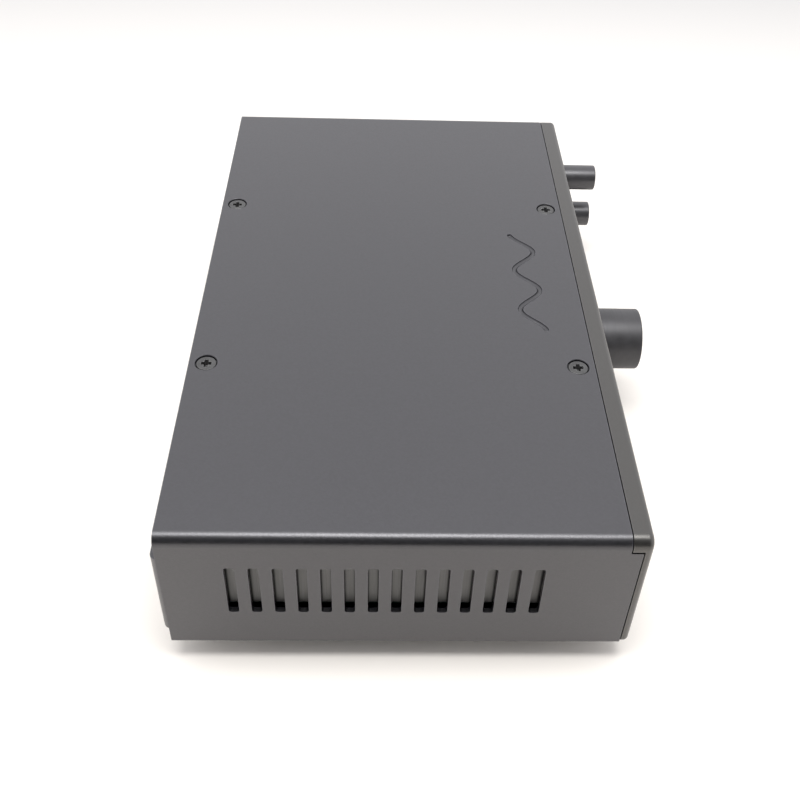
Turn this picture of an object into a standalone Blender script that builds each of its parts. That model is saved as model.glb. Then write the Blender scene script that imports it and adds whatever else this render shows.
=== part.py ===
"""Desktop digital-to-analogue converter and headphone amplifier, as separate solids.

The front panel faces -Y, +X is to the right seen from the front, and the feet stand on Z = 0.
The origin is the centre of the overall box, on the surface that the feet stand on. Sizes are in metres.
"""

import math
from dataclasses import dataclass

import bmesh
import bpy
from mathutils import Matrix, Vector

# Overall sizes
BODY_WIDTH = 0.2150
BODY_HEIGHT = 0.0440
BODY_DEPTH = 0.1260  # front face of the front panel to the rear edge of the cover
FOOT_HEIGHT = 0.0080
KNOB_PROUD = 0.0176  # volume knob, from the front face
CONNECTOR_PROUD = 0.0055  # longest rear socket, from the rear edge of the cover

# Clearances
GAP = 0.0003  # between pieces that touch
SEAM = 0.0003  # between the front panel and the cover
SLACK = 0.0005  # round a body where it passes through a board or the upright
SIDE_CLEAR = 0.0004  # between the cover's sides and what stands between them

# Sheet metal
COVER_WALL = 0.0015
COVER_BEND = 0.0032  # outer radius of the cover's folded edges
COVER_LIFT = 0.0004  # lower edge of the cover, above the underside
TRAY_WALL = 0.0012
RETURN_DEPTH = 0.0097  # folded top edges that take the cover screws
REAR_RETURN_DEPTH = 0.0117
REAR_FOOT_DEPTH = 0.0060

# Front panel
PANEL_PLATE = 0.0022
PANEL_FLANGE = 0.0016
PANEL_FLANGE_DEPTH = 0.0055
PANEL_EDGE = 0.0016  # radius of the front edges
PANEL_WRAP = 0.0040  # how far the top flange wraps down the side
PANEL_FOOT_CORNER = 0.0018
RELIEF = 0.0006  # slot under the wrapped end of the flange

# Rear tabs of the cover
TAB_LOW = 0.0060
TAB_HIGH = 0.0360
TAB_PROUD = 0.0015
TAB_LENGTH = 0.0080
TAB_BEND = 0.0022
TAB_LEG = 0.0060

# Side vents
VENT_WIDTH = 0.0028
VENT_LENGTH = 0.0189
VENT_LOW = 0.0138
VENT_CORNER = 0.0008
VENT_PITCH = 0.00614
VENT_FROM_FRONT = 0.0280
VENT_FROM_BACK = 0.0180

# Side shields behind the vents
SHIELD_INSET = 0.0030
SHIELD_WALL = 0.0010
SHIELD_LOW = 0.0142
SHIELD_HIGH = 0.0390
SHIELD_LEG = 0.0080
SHIELD_TOE = 0.0036
SHIELD_FROM_FRONT = 0.0160

# Wave groove in the top
WAVE_LENGTH = 0.0520
WAVE_SWING = 0.0036
WAVE_TURNS = 2.5
WAVE_STROKE = 0.0018
WAVE_DEPTH = 0.0006
WAVE_FROM_FRONT = 0.0219

# Cover screws
COVER_SCREW_X = 0.0421
COVER_SCREW_FROM_FRONT = 0.0108
COVER_SCREW_FROM_BACK = 0.0051
COVER_SCREW_HEAD = 0.0060
COVER_SCREW_SINK = 0.0070
COVER_SCREW_LENGTH = 0.0066
THREAD = 0.0024
CROSS_ARM = 0.0032
CROSS_WIDTH = 0.0007
CROSS_DEPTH = 0.0009

# Feet
FOOT_TOP = 0.0150
FOOT_BOTTOM = 0.0130
FOOT_ROUND = 0.0008
FOOT_STEM = 0.0034
FOOT_BARB = 0.0054
FOOT_FROM_SIDE = 0.0195
FOOT_FROM_FRONT = 0.0200

# Boards
BOARD_WALL = 0.0016
STANDOFF_HEIGHT = 0.0045
STANDOFF = 0.0060
STANDOFF_FROM_SIDE = 0.0275
STANDOFF_FROM_FRONT = 0.0340
STANDOFF_FROM_BACK = 0.0330
BOARD_SCREW_HEAD = 0.0055
BOARD_SCREW_TALL = 0.0019
BOARD_SCREW_LENGTH = 0.0042
CONTROL_DEPTH = 0.0058  # room for the controls in front of the front board
FRONT_BOARD_LOW = 0.0030
FRONT_BOARD_HIGH = 0.0368
FRONT_BOARD_INSET = 0.0055
MAIN_BOARD_INSET = 0.0085
SPACER = 0.0044
HEADER_WIDTH = 0.0200
HEADER_DEPTH = 0.0040
HEADER_X = -0.0380
FRONT_HEADER_Z = 0.0260
MAIN_HEADER_TALL = 0.0044
RIBBON_WALL = 0.0006
RIBBON_REACH = 0.0127
PROCESSOR = 0.0200
PROCESSOR_TALL = 0.0022
CONVERTER = 0.0120
CONVERTER_TALL = 0.0014
CAPACITOR = 0.0080
CAPACITOR_TALL = 0.0110
CAPACITOR_PITCH = 0.0110
CAPACITOR_COUNT = 5

# Front buttons and the places of the controls
POWER_CAP = 0.0090
POWER_PROUD = 0.0010
POWER_SWITCH = 0.0080
MENU_CAP = 0.0060
MENU_PROUD = 0.0008
MENU_SWITCH = 0.0060
LEFT_COLUMN = 0.0145  # power button and earphone jack, from the left side
HEADPHONE_FROM_LEFT = 0.0415
ENCODER_FROM_RIGHT = 0.0203
ENCODER_SPACING = 0.0172
ENCODER_DROP = 0.0010  # knobs, below the middle of the panel
MENU_FROM_ENCODER = 0.0137
MENU_FROM_DISPLAY = 0.0255
MENU_SPACING = 0.0180
POWER_SPACING = 0.0180
BUTTON_FLANGE = 0.0008  # how far a button's collar stands out, and how thick it is
BUTTON_EDGE = 0.0003
SWITCH_DEPTH = 0.0052
SWITCH_BORE_DEPTH = 0.0036
STEM = 0.0029

# Display
DISPLAY_WIDTH = 0.0360
DISPLAY_HEIGHT = 0.0270
DISPLAY_CORNER = 0.0012
DISPLAY_LIP = 0.0010
DISPLAY_LIP_WALL = 0.0006
DISPLAY_CARRIER_INSET = 0.0030
DISPLAY_SUNK = 0.0002

# Encoders and their knobs
VOLUME_KNOB = 0.0205
VOLUME_LEFT = 0.0020  # volume knob, to the left of the middle
VOLUME_SHAFT = 0.0060
VOLUME_ENCODER = 0.0140
SMALL_KNOB = 0.0097
SMALL_KNOB_PROUD = 0.0153
SMALL_SHAFT = 0.0040
SMALL_ENCODER = 0.0120
PUSH = 0.0006
KNOB_CLEAR = 0.0012
KNOB_EDGE = 0.0005
KNOB_FACE = 0.0024
KNOB_SKIRT_WALL = 0.0016
KNOB_SKIRT_DEPTH = 0.0024
BUSH_WALL = 0.0012
BUSH_SUNK = 0.0006
CHAMBER_FRONT_WALL = 0.0015
CHAMBER_BACK_WALL = 0.0005
COLLAR = 0.0007
COLLAR_WALL = 0.0010
DISC_WALL = 0.0010

# Headphone and earphone jacks
JACK_SUNK = 0.0002
HEADPHONE_NOSE = 0.0114
HEADPHONE_BORE = 0.0066
HEADPHONE_BORE_DEPTH = 0.0310
HEADPHONE_WIDTH = 0.0150
HEADPHONE_LENGTH = 0.0290
HEADPHONE_ABOVE = 0.0085
NUT_ACROSS = 0.0150
NUT_WALL = 0.0022
EARPHONE_NOSE = 0.0060
EARPHONE_BORE = 0.0037
EARPHONE_BORE_DEPTH = 0.0150
EARPHONE_WIDTH = 0.0076
EARPHONE_LENGTH = 0.0140
EARPHONE_ABOVE = 0.0045

# Rear sockets
SOCKET_PROUD = 0.0010
XLR_FROM_RIGHT = 0.0235
XLR_SPACING = 0.0270
XLR_WIDTH = 0.0240
XLR_HALF_HEIGHT = 0.0130
XLR_DEPTH = 0.0217
XLR_SHELL = 0.0210
XLR_RECESS = 0.0174
XLR_RECESS_DEPTH = 0.0130
XLR_PIN = 0.0024
XLR_PIN_CIRCLE = 0.0086
XLR_PIN_SUNK = 0.0045
XLR_CENTRE = 0.0215
LINE_FROM_XLR = 0.0230
LINE_SPACING = 0.0140
LINE_CENTRE = 0.0175
LINE_WIDTH = 0.0100
LINE_DEPTH = 0.0115
LINE_BARREL = 0.0083
LINE_SLEEVE_WALL = 0.0007
LINE_PIT = 0.0010
LINE_HOLE = 0.0034
LINE_HOLE_DEPTH = 0.0080
LINE_COLLAR = 0.0106
LINE_COLLAR_WALL = 0.0018
COAXIAL_FROM_LINE = 0.0200
OPTICAL_FROM_COAXIAL = 0.0180
OPTICAL_WIDTH = 0.0098
OPTICAL_HEIGHT = 0.0104
OPTICAL_DEPTH = 0.0125
OPTICAL_MOUTH = 0.0066
OPTICAL_MOUTH_DEPTH = 0.0090
SHUTTER_WALL = 0.0008
SHUTTER_PIN = 0.0010
SHUTTER_PIN_LENGTH = 0.0008
SHUTTER_SUNK = 0.0014
USB_FROM_OPTICAL = 0.0240
USB_WIDTH = 0.0120
USB_HEIGHT = 0.0110
USB_DEPTH = 0.0137
USB_MOUTH_WIDTH = 0.0086
USB_MOUTH_HEIGHT = 0.0079
USB_MOUTH_DEPTH = 0.0090
USB_TONGUE_WIDTH = 0.0056
USB_TONGUE_HEIGHT = 0.0032
POWER_FROM_LEFT = 0.0275
POWER_JACK_WIDTH = 0.0090
POWER_JACK_HEIGHT = 0.0110
POWER_JACK_DEPTH = 0.0127
POWER_JACK_BORE = 0.0062
POWER_JACK_BORE_DEPTH = 0.0095
POWER_JACK_PIN = 0.0021

# Facets
BEND_STEPS = 4
EDGE_STEPS = 2
SMALL_ROUND = 12
MEDIUM_ROUND = 16
LARGE_ROUND = 28
WAVE_STEPS = 30
OVER = 0.0010  # how far a cutter runs past a face
BITE = 0.0005  # how far joined shapes run into each other

# Planes that several pieces share
FRONT = (KNOB_PROUD - BODY_DEPTH - CONNECTOR_PROUD) / 2
BACK = FRONT + BODY_DEPTH
BASE = FOOT_HEIGHT
TOP = BASE + BODY_HEIGHT
MIDDLE = (BASE + TOP) / 2
SIDE = BODY_WIDTH / 2
INNER_SIDE = SIDE - COVER_WALL - SIDE_CLEAR
PLATE_BACK = FRONT + PANEL_PLATE
UPRIGHT_FRONT = FRONT + PANEL_FLANGE_DEPTH + SEAM
UPRIGHT_BACK = UPRIGHT_FRONT + TRAY_WALL
CONTROL_FRONT = UPRIGHT_BACK + GAP
CONTROL_BACK = CONTROL_FRONT + CONTROL_DEPTH
FRONT_BOARD_FRONT = CONTROL_BACK + GAP
FRONT_BOARD_BACK = FRONT_BOARD_FRONT + BOARD_WALL
TAB_OUTER = BACK + TAB_PROUD
REAR_FACE = TAB_OUTER - COVER_WALL - GAP
REAR_INNER = REAR_FACE - TRAY_WALL
SOCKET_FRONT = REAR_INNER - GAP
SOCKET_FACE = REAR_FACE + SOCKET_PROUD
FLOOR_TOP = BASE + TRAY_WALL
BOARD_UNDER = FLOOR_TOP + STANDOFF_HEIGHT + GAP
BOARD_TOP = BOARD_UNDER + BOARD_WALL
SEAT = BOARD_TOP + GAP
RETURN_TOP = TOP - COVER_WALL - GAP
RETURN_UNDER = RETURN_TOP - TRAY_WALL
BRACKET_SIDE = SIDE - COVER_BEND - OVER

# Places of the controls and sockets
LEFT_COLUMN_X = LEFT_COLUMN - SIDE
HEADPHONE_X = HEADPHONE_FROM_LEFT - SIDE
ENCODER_X = SIDE - ENCODER_FROM_RIGHT
MENU_RIGHT_X = ENCODER_X - MENU_FROM_ENCODER
DISPLAY_X = MENU_RIGHT_X - MENU_FROM_DISPLAY
MENU_LEFT_X = DISPLAY_X - MENU_FROM_DISPLAY
XLR_RIGHT_X = SIDE - XLR_FROM_RIGHT
XLR_LEFT_X = XLR_RIGHT_X - XLR_SPACING
LINE_RIGHT_X = XLR_LEFT_X - LINE_FROM_XLR
LINE_LEFT_X = LINE_RIGHT_X - LINE_SPACING
COAXIAL_X = LINE_LEFT_X - COAXIAL_FROM_LINE
OPTICAL_X = COAXIAL_X - OPTICAL_FROM_COAXIAL
USB_X = OPTICAL_X - USB_FROM_OPTICAL
POWER_JACK_X = POWER_FROM_LEFT - SIDE
XLR_Z = BASE + XLR_CENTRE
LINE_Z = BASE + LINE_CENTRE
OPTICAL_Z = SEAT + OPTICAL_HEIGHT / 2
USB_Z = SEAT + USB_HEIGHT / 2
POWER_JACK_Z = SEAT + POWER_JACK_HEIGHT / 2
EARPHONE_Z = MIDDLE - POWER_SPACING / 2
ENCODER_Z = MIDDLE - ENCODER_DROP


@dataclass(frozen=True)
class Encoder:
    """A knob on a push encoder: where its axis is, and its own sizes."""

    name: str
    x: float
    z: float
    knob: float
    proud: float
    shaft: float
    body: float

    @property
    def bore(self):
        return self.shaft + 2 * GAP

    @property
    def bush(self):
        return self.bore + 2 * BUSH_WALL


@dataclass(frozen=True)
class Button:
    """A push button and the switch behind it."""

    name: str
    switch: str
    x: float
    z: float
    cap: float
    proud: float
    body: float


def small_encoder(name, z):
    return Encoder(name, ENCODER_X, z, SMALL_KNOB, SMALL_KNOB_PROUD, SMALL_SHAFT, SMALL_ENCODER)


ENCODERS = (
    Encoder("volume", -VOLUME_LEFT, ENCODER_Z, VOLUME_KNOB, KNOB_PROUD, VOLUME_SHAFT, VOLUME_ENCODER),
    small_encoder("upper", ENCODER_Z + ENCODER_SPACING / 2),
    small_encoder("lower", ENCODER_Z - ENCODER_SPACING / 2),
)

MENU_HIGH = MIDDLE + MENU_SPACING / 2
MENU_LOW = MIDDLE - MENU_SPACING / 2


def menu_button(place_name, x, z):
    names = (f"menu_button_{place_name}", f"menu_switch_{place_name}")
    return Button(*names, x, z, MENU_CAP, MENU_PROUD, MENU_SWITCH)


POWER_NAMES = ("power_button", "power_switch")
POWER_Z = MIDDLE + POWER_SPACING / 2
BUTTONS = (
    Button(*POWER_NAMES, LEFT_COLUMN_X, POWER_Z, POWER_CAP, POWER_PROUD, POWER_SWITCH),
    menu_button("upper_left", MENU_LEFT_X, MENU_HIGH),
    menu_button("lower_left", MENU_LEFT_X, MENU_LOW),
    menu_button("upper_right", MENU_RIGHT_X, MENU_HIGH),
    menu_button("lower_right", MENU_RIGHT_X, MENU_LOW),
)

CORNERS = (
    ("front_left", "front", -1),
    ("front_right", "front", 1),
    ("rear_left", "rear", -1),
    ("rear_right", "rear", 1),
)


# Materials


def material(name, colour, roughness, metallic=0.0):
    """The named material, made the first time that it is asked for."""
    made = bpy.data.materials.get(name)
    if made:
        return made
    made = bpy.data.materials.new(name)
    made.use_nodes = True
    shader = made.node_tree.nodes["Principled BSDF"]
    shader.inputs["Base Color"].default_value = (*colour, 1.0)
    shader.inputs["Roughness"].default_value = roughness
    shader.inputs["Metallic"].default_value = metallic
    made.diffuse_color = (*colour, 1.0)
    return made


def black_coat():
    return material("black_powder_coat", (0.040, 0.040, 0.042), 0.55)


def panel_coat():
    return material("panel_coat", (0.045, 0.044, 0.042), 0.50)


def bare_steel():
    return material("bare_steel", (0.55, 0.56, 0.57), 0.40, 1.0)


def black_steel():
    return material("black_steel", (0.03, 0.03, 0.032), 0.35, 0.8)


def knob_metal():
    return material("knob_metal", (0.030, 0.030, 0.032), 0.45, 0.3)


def board_green():
    return material("board_green", (0.02, 0.10, 0.05), 0.40)


def black_plastic():
    return material("black_plastic", (0.018, 0.018, 0.018), 0.45)


def button_plastic():
    return material("button_plastic", (0.10, 0.10, 0.105), 0.40)


def display_glass():
    return material("display_glass", (0.006, 0.006, 0.008), 0.08)


def socket_metal():
    return material("socket_metal", (0.70, 0.70, 0.70), 0.25, 1.0)


def rubber():
    return material("foot_rubber", (0.015, 0.015, 0.015), 0.85)


def ribbon_grey():
    return material("ribbon_grey", (0.45, 0.45, 0.46), 0.60)


# Outlines and solids


def arc(centre, radius, start, end, steps):
    """Points on an arc, from the start angle to the end angle in degrees."""
    points = []
    for step in range(steps + 1):
        angle = math.radians(start + (end - start) * step / steps)
        points.append((centre[0] + radius * math.cos(angle), centre[1] + radius * math.sin(angle)))
    return points


def rectangle(low, high):
    return [(low[0], low[1]), (high[0], low[1]), (high[0], high[1]), (low[0], high[1])]


def centred(centre, width, height):
    """A rectangle round its centre."""
    half, rise = width / 2, height / 2
    return rectangle((centre[0] - half, centre[1] - rise), (centre[0] + half, centre[1] + rise))


def rounded(low, high, bottom_radius, top_radius, steps=BEND_STEPS):
    """A rectangle whose two bottom corners share one radius and whose two top corners share another."""
    foot, head = bottom_radius, top_radius
    return (
        arc((low[0] + foot, low[1] + foot), foot, 180, 270, steps)
        + arc((high[0] - foot, low[1] + foot), foot, 270, 360, steps)
        + arc((high[0] - head, high[1] - head), head, 0, 90, steps)
        + arc((low[0] + head, high[1] - head), head, 90, 180, steps)
    )


def channel(half_width, low, high, wall, radius, steps=BEND_STEPS):
    """A sheet folded down at both sides, open at the bottom."""
    right = (half_width - radius, high - radius)
    left = (radius - half_width, high - radius)
    outer = arc(left, radius, 180, 90, steps) + arc(right, radius, 90, 0, steps)
    inner = arc(right, radius - wall, 0, 90, steps) + arc(left, radius - wall, 90, 180, steps)
    return (
        [(-half_width, low)]
        + outer
        + [(half_width, low), (half_width - wall, low)]
        + inner
        + [(wall - half_width, low)]
    )


def cross(centre, arm, width):
    """The outline of a cross recess."""
    reach, half = arm / 2, width / 2
    quarter = [(reach, -half), (reach, half), (half, half)]
    points = []
    for cosine, sine in ((1, 0), (0, 1), (-1, 0), (0, -1)):
        for u, v in quarter:
            points.append((centre[0] + cosine * u - sine * v, centre[1] + sine * u + cosine * v))
    return points


def wave(centre, length, swing, turns, stroke, steps=WAVE_STEPS):
    """A band of even width along a sine curve."""
    rate = turns * 2 * math.pi / length
    upper, lower = [], []
    for step in range(steps + 1):
        along = length * (step / steps - 0.5)
        height = swing * math.sin(rate * along)
        slope = swing * rate * math.cos(rate * along)
        scale = stroke / 2 / math.hypot(1, slope)
        upper.append((centre[0] + along - slope * scale, centre[1] + height + scale))
        lower.append((centre[0] + along + slope * scale, centre[1] + height - scale))
    return upper + lower[::-1]


def place(axis, u, v, along):
    """The point at (u, v) across an axis and at a distance along it."""
    return {"X": (along, u, v), "Y": (u, along, v), "Z": (u, v, along)}[axis]


def add_rings(bm, rings, closed=False):
    """Faces between rings of points. A ring of one point is a pole, and open ends are capped."""
    rows = [[bm.verts.new(point) for point in ring] for ring in rings]
    pairs = list(zip(rows, rows[1:] + rows[:1] if closed else rows[1:]))
    for row, after in pairs:
        count = max(len(row), len(after))
        for index in range(count):
            turn = (index + 1) % count
            near = [row[index % len(row)], row[turn % len(row)]]
            far = [after[turn % len(after)], after[index % len(after)]]
            bm.faces.new(list(dict.fromkeys(near + far)))
    if not closed:
        for row in (rows[0], rows[-1]):
            if len(row) > 2:
                bm.faces.new(row)


def add_prism(bm, outline, axis, start, end):
    add_rings(bm, [[place(axis, u, v, along) for u, v in outline] for along in (start, end)])


def add_box(bm, low, high):
    add_prism(bm, rectangle(low[:2], high[:2]), "Z", low[2], high[2])


def add_turned(bm, axis, centre, profile, segments=MEDIUM_ROUND):
    """A turned solid round an axis through (u, v). A profile that leaves the axis is a closed ring."""
    rings = []
    for radius, along in profile:
        steps = segments if radius else 1
        ring = []
        for step in range(steps):
            angle = 2 * math.pi * step / segments
            u, v = centre[0] + radius * math.cos(angle), centre[1] + radius * math.sin(angle)
            ring.append(place(axis, u, v, along))
        rings.append(ring)
    add_rings(bm, rings, closed=profile[0][0] > 0)


def add_rod(bm, axis, centre, radius, start, end, segments=MEDIUM_ROUND):
    add_turned(bm, axis, centre, [(0, start), (radius, start), (radius, end), (0, end)], segments)


def to_mesh(bm, name, origin):
    bmesh.ops.recalc_face_normals(bm, faces=bm.faces)
    bmesh.ops.translate(bm, verts=bm.verts, vec=-Vector(origin))
    mesh = bpy.data.meshes.new(name)
    bm.to_mesh(mesh)
    bm.free()
    return mesh


def part(name, bm, finish, parent, origin=(0.0, 0.0, 0.0)):
    """A named sub-part from a bmesh in world coordinates, with its own origin."""
    mesh = to_mesh(bm, name, origin)
    mesh.shade_smooth()
    mesh.set_sharp_from_angle(angle=math.radians(35))
    mesh.materials.append(finish)
    made = bpy.data.objects.new(name, mesh)
    bpy.context.scene.collection.objects.link(made)
    made.parent = parent
    made.matrix_parent_inverse = Matrix.Translation(-parent.location)
    made.location = origin
    return made


def helper(target, bm, operation):
    """Adds a Boolean to a sub-part, with a hidden guide that moves with it."""
    count = len(target.modifiers)
    name = f"guide_{target.name}_{count}"
    guide = bpy.data.objects.new(name, to_mesh(bm, name, target.location))
    bpy.context.scene.collection.objects.link(guide)
    guide.parent = target
    guide.hide_render = True
    guide.display_type = "WIRE"
    boolean = target.modifiers.new(f"{operation.lower()}_{count}", "BOOLEAN")
    boolean.operation = operation
    boolean.solver = "EXACT"
    boolean.object = guide


def cut(target, bm):
    helper(target, bm, "DIFFERENCE")


def join(target, bm):
    helper(target, bm, "UNION")


def axis_empty(name, origin, parent=None):
    """An empty on a joint's axis, or the whole object's frame."""
    empty = bpy.data.objects.new(name, None)
    empty.empty_display_size = 0.01
    bpy.context.scene.collection.objects.link(empty)
    if parent:
        empty.parent = parent
        empty.matrix_parent_inverse = Matrix.Translation(-parent.location)
    empty.location = origin
    return empty


def corner_place(end, side, x, from_front, from_back):
    """A place mirrored to the four corners of the body."""
    return side * x, FRONT + from_front if end == "front" else BACK - from_back


def cover_screw_place(end, side):
    return corner_place(end, side, COVER_SCREW_X, COVER_SCREW_FROM_FRONT, COVER_SCREW_FROM_BACK)


def standoff_place(end, side):
    return corner_place(end, side, SIDE - STANDOFF_FROM_SIDE, STANDOFF_FROM_FRONT, STANDOFF_FROM_BACK)


def foot_place(end, side):
    return corner_place(end, side, SIDE - FOOT_FROM_SIDE, FOOT_FROM_FRONT, FOOT_FROM_FRONT)


# Casing


def top_cover(parent):
    """Top and sides folded from one sheet, with tabs folded in behind the rear panel."""
    low = BASE + COVER_LIFT
    bm = bmesh.new()
    add_prism(bm, channel(SIDE, low, TOP, COVER_WALL, COVER_BEND), "Y", UPRIGHT_FRONT, BACK)
    cover = part("top_cover", bm, black_coat(), parent)

    tabs = bmesh.new()
    wrap_under = TOP - PANEL_WRAP - RELIEF
    for side in (-1, 1):
        inner, outer = sorted((side * (SIDE - COVER_WALL), side * SIDE))
        add_box(tabs, (inner, PLATE_BACK + SEAM, low), (outer, UPRIGHT_FRONT + OVER, wrap_under))
        add_prism(tabs, rear_tab(side), "Z", BASE + TAB_LOW, BASE + TAB_HIGH)
    join(cover, tabs)

    holes = bmesh.new()
    for centre in vent_places():
        add_prism(holes, vent_outline(centre), "X", -SIDE - OVER, SIDE + OVER)
    for _, end, side in CORNERS:
        add_turned(holes, "Z", cover_screw_place(end, side), screw_sink())
    add_prism(holes, wave_outline(), "Z", TOP - WAVE_DEPTH, TOP + OVER)
    cut(cover, holes)


def rear_tab(side):
    """Outline of a rear tab: a leg along the side wall, an outer bend and the tab itself."""
    leg = TAB_OUTER - TAB_LEG
    bend = arc((SIDE - TAB_BEND, TAB_OUTER - TAB_BEND), TAB_BEND, 0, 90, BEND_STEPS)
    inner = (SIDE - COVER_WALL, TAB_OUTER - COVER_WALL)
    tip = SIDE - TAB_LENGTH
    points = [(inner[0], leg), (SIDE, leg)] + bend + [(tip, TAB_OUTER), (tip, inner[1]), inner]
    return [(side * x, y) for x, y in points]


def vent_places():
    """Centres (y, z) of the vents in one side, as many as fit at their pitch."""
    room = BODY_DEPTH - VENT_FROM_FRONT - VENT_FROM_BACK
    count = int(room / VENT_PITCH + 1e-6) + 1
    height = BASE + VENT_LOW + VENT_LENGTH / 2
    return [(FRONT + VENT_FROM_FRONT + VENT_PITCH * index, height) for index in range(count)]


def vent_outline(centre):
    across, up = VENT_WIDTH / 2, VENT_LENGTH / 2
    low = (centre[0] - across, centre[1] - up)
    high = (centre[0] + across, centre[1] + up)
    return rounded(low, high, VENT_CORNER, VENT_CORNER, EDGE_STEPS)


def wave_outline():
    return wave((0.0, FRONT + WAVE_FROM_FRONT), WAVE_LENGTH, WAVE_SWING, WAVE_TURNS, WAVE_STROKE)


def screw_sink():
    """Profile of the countersink: a 90 degree cone that narrows through the cover."""
    mouth = COVER_SCREW_SINK / 2
    throat = mouth - COVER_WALL
    return [(0, TOP - COVER_WALL - OVER), (throat, TOP - COVER_WALL - OVER), (throat, TOP - COVER_WALL),
            (mouth, TOP), (mouth, TOP + OVER), (0, TOP + OVER)]


def front_panel(parent):
    """Plate with rounded front edges and a flange along its top and bottom."""
    rings = []
    for step in range(EDGE_STEPS + 1):
        angle = math.pi / 2 * step / EDGE_STEPS
        rings.append((PANEL_EDGE * (1 - math.sin(angle)), FRONT + PANEL_EDGE * (1 - math.cos(angle))))
    rings.append((0.0, FRONT + PANEL_FLANGE_DEPTH))
    bm = bmesh.new()
    outlines = [[(u, along, v) for u, v in panel_outline(inset)] for inset, along in rings]
    add_rings(bm, outlines)
    panel = part("front_panel", bm, panel_coat(), parent)

    hollow = bmesh.new()
    behind = FRONT + PANEL_FLANGE_DEPTH + OVER
    add_prism(hollow, panel_outline(PANEL_FLANGE), "Y", PLATE_BACK, behind)
    cut(panel, hollow)
    sides = bmesh.new()
    for side in (-1, 1):
        near, far = sorted((side * INNER_SIDE, side * (SIDE + OVER)))
        add_box(sides, (near, PLATE_BACK, BASE - OVER), (far, behind, TOP - PANEL_WRAP))
    cut(panel, sides)

    holes = bmesh.new()
    through = (FRONT - OVER, PLATE_BACK + OVER)
    caps = [(button.x, button.z, button.cap) for button in BUTTONS]
    for x, z, width in bushes_and_noses() + caps:
        add_rod(holes, "Y", (x, z), width / 2 + GAP, *through)
    add_prism(holes, display_outline(GAP), "Y", *through)
    cut(panel, holes)


def panel_outline(inset):
    """The front panel's outline, moved in from its edge."""
    low = (-SIDE + inset, BASE + inset)
    high = (SIDE - inset, TOP - inset)
    return rounded(low, high, PANEL_FOOT_CORNER - inset, COVER_BEND - inset)


def display_outline(grow):
    """The display window's outline, moved out from its edge."""
    low = (DISPLAY_X - DISPLAY_WIDTH / 2 - grow, MIDDLE - DISPLAY_HEIGHT / 2 - grow)
    high = (DISPLAY_X + DISPLAY_WIDTH / 2 + grow, MIDDLE + DISPLAY_HEIGHT / 2 + grow)
    return rounded(low, high, DISPLAY_CORNER + grow, DISPLAY_CORNER + grow, EDGE_STEPS)


def bottom_tray(parent):
    """Floor with a front upright, whose folded top edge takes the front cover screws."""
    bm = bmesh.new()
    add_box(bm, (-INNER_SIDE, UPRIGHT_FRONT, BASE), (INNER_SIDE, REAR_FACE, FLOOR_TOP))
    tray = part("bottom_tray", bm, bare_steel(), parent)

    upright = bmesh.new()
    lip = UPRIGHT_FRONT + RETURN_DEPTH
    outline = [
        (UPRIGHT_FRONT, BASE),
        (UPRIGHT_BACK, BASE),
        (UPRIGHT_BACK, RETURN_UNDER),
        (lip, RETURN_UNDER),
        (lip, RETURN_TOP),
        (UPRIGHT_FRONT, RETURN_TOP),
    ]
    add_prism(upright, outline, "X", -BRACKET_SIDE, BRACKET_SIDE)
    join(tray, upright)

    posts = bmesh.new()
    post_top = FLOOR_TOP + STANDOFF_HEIGHT
    for _, end, side in CORNERS:
        add_rod(posts, "Z", standoff_place(end, side), STANDOFF / 2, FLOOR_TOP - BITE, post_top)
    for x, z in spacer_places():
        add_rod(posts, "Y", (x, z), SPACER / 2, UPRIGHT_BACK - BITE, CONTROL_BACK, SMALL_ROUND)
    join(tray, posts)

    holes = bmesh.new()
    screw, stem = THREAD / 2 + GAP, FOOT_STEM / 2 + GAP
    for _, end, side in CORNERS:
        add_rod(holes, "Z", standoff_place(end, side), screw, BASE - OVER, BOARD_UNDER, SMALL_ROUND)
        add_rod(holes, "Z", foot_place(end, side), stem, BASE - OVER, FLOOR_TOP + OVER, SMALL_ROUND)
    add_return_holes(holes, "front")
    through = (UPRIGHT_FRONT - OVER, UPRIGHT_BACK + OVER)
    stems = [(button.x, button.z, STEM) for button in BUTTONS]
    for x, z, width in bushes_and_noses() + stems:
        add_rod(holes, "Y", (x, z), width / 2 + GAP, *through)
    add_prism(holes, carrier_outline(SLACK), "Y", *through)
    cut(tray, holes)


def add_return_holes(holes, end):
    """Cutters for the two cover screws that reach through the folded top edge at one end."""
    for _, screw_end, side in CORNERS:
        if screw_end == end:
            centre = cover_screw_place(end, side)
            ends = (RETURN_UNDER - OVER, RETURN_TOP + OVER)
            add_rod(holes, "Z", centre, THREAD / 2 + GAP, *ends, SMALL_ROUND)


def bushes_and_noses():
    """Place and width (x, z, width) of each encoder's bush and each jack's nose."""
    bushes = [(encoder.x, encoder.z, encoder.bush) for encoder in ENCODERS]
    noses = [(HEADPHONE_X, MIDDLE, HEADPHONE_NOSE), (LEFT_COLUMN_X, EARPHONE_Z, EARPHONE_NOSE)]
    return bushes + noses


def carrier_outline(grow):
    """The display carrier's outline, moved out from its edge."""
    across = DISPLAY_WIDTH / 2 - DISPLAY_CARRIER_INSET + grow
    up = DISPLAY_HEIGHT / 2 - DISPLAY_CARRIER_INSET + grow
    return rectangle((DISPLAY_X - across, MIDDLE - up), (DISPLAY_X + across, MIDDLE + up))


def spacer_places():
    """Spacers (x, z) on the upright that hold the front board, on both sides of the volume encoder."""
    volume = ENCODERS[0].x
    columns = ((HEADPHONE_X + volume) / 2, (MENU_LEFT_X + volume) / 2)
    rows = (BASE + FRONT_BOARD_LOW + SPACER, BASE + FRONT_BOARD_HIGH - SPACER)
    return [(x, z) for x in columns for z in rows]


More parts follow.
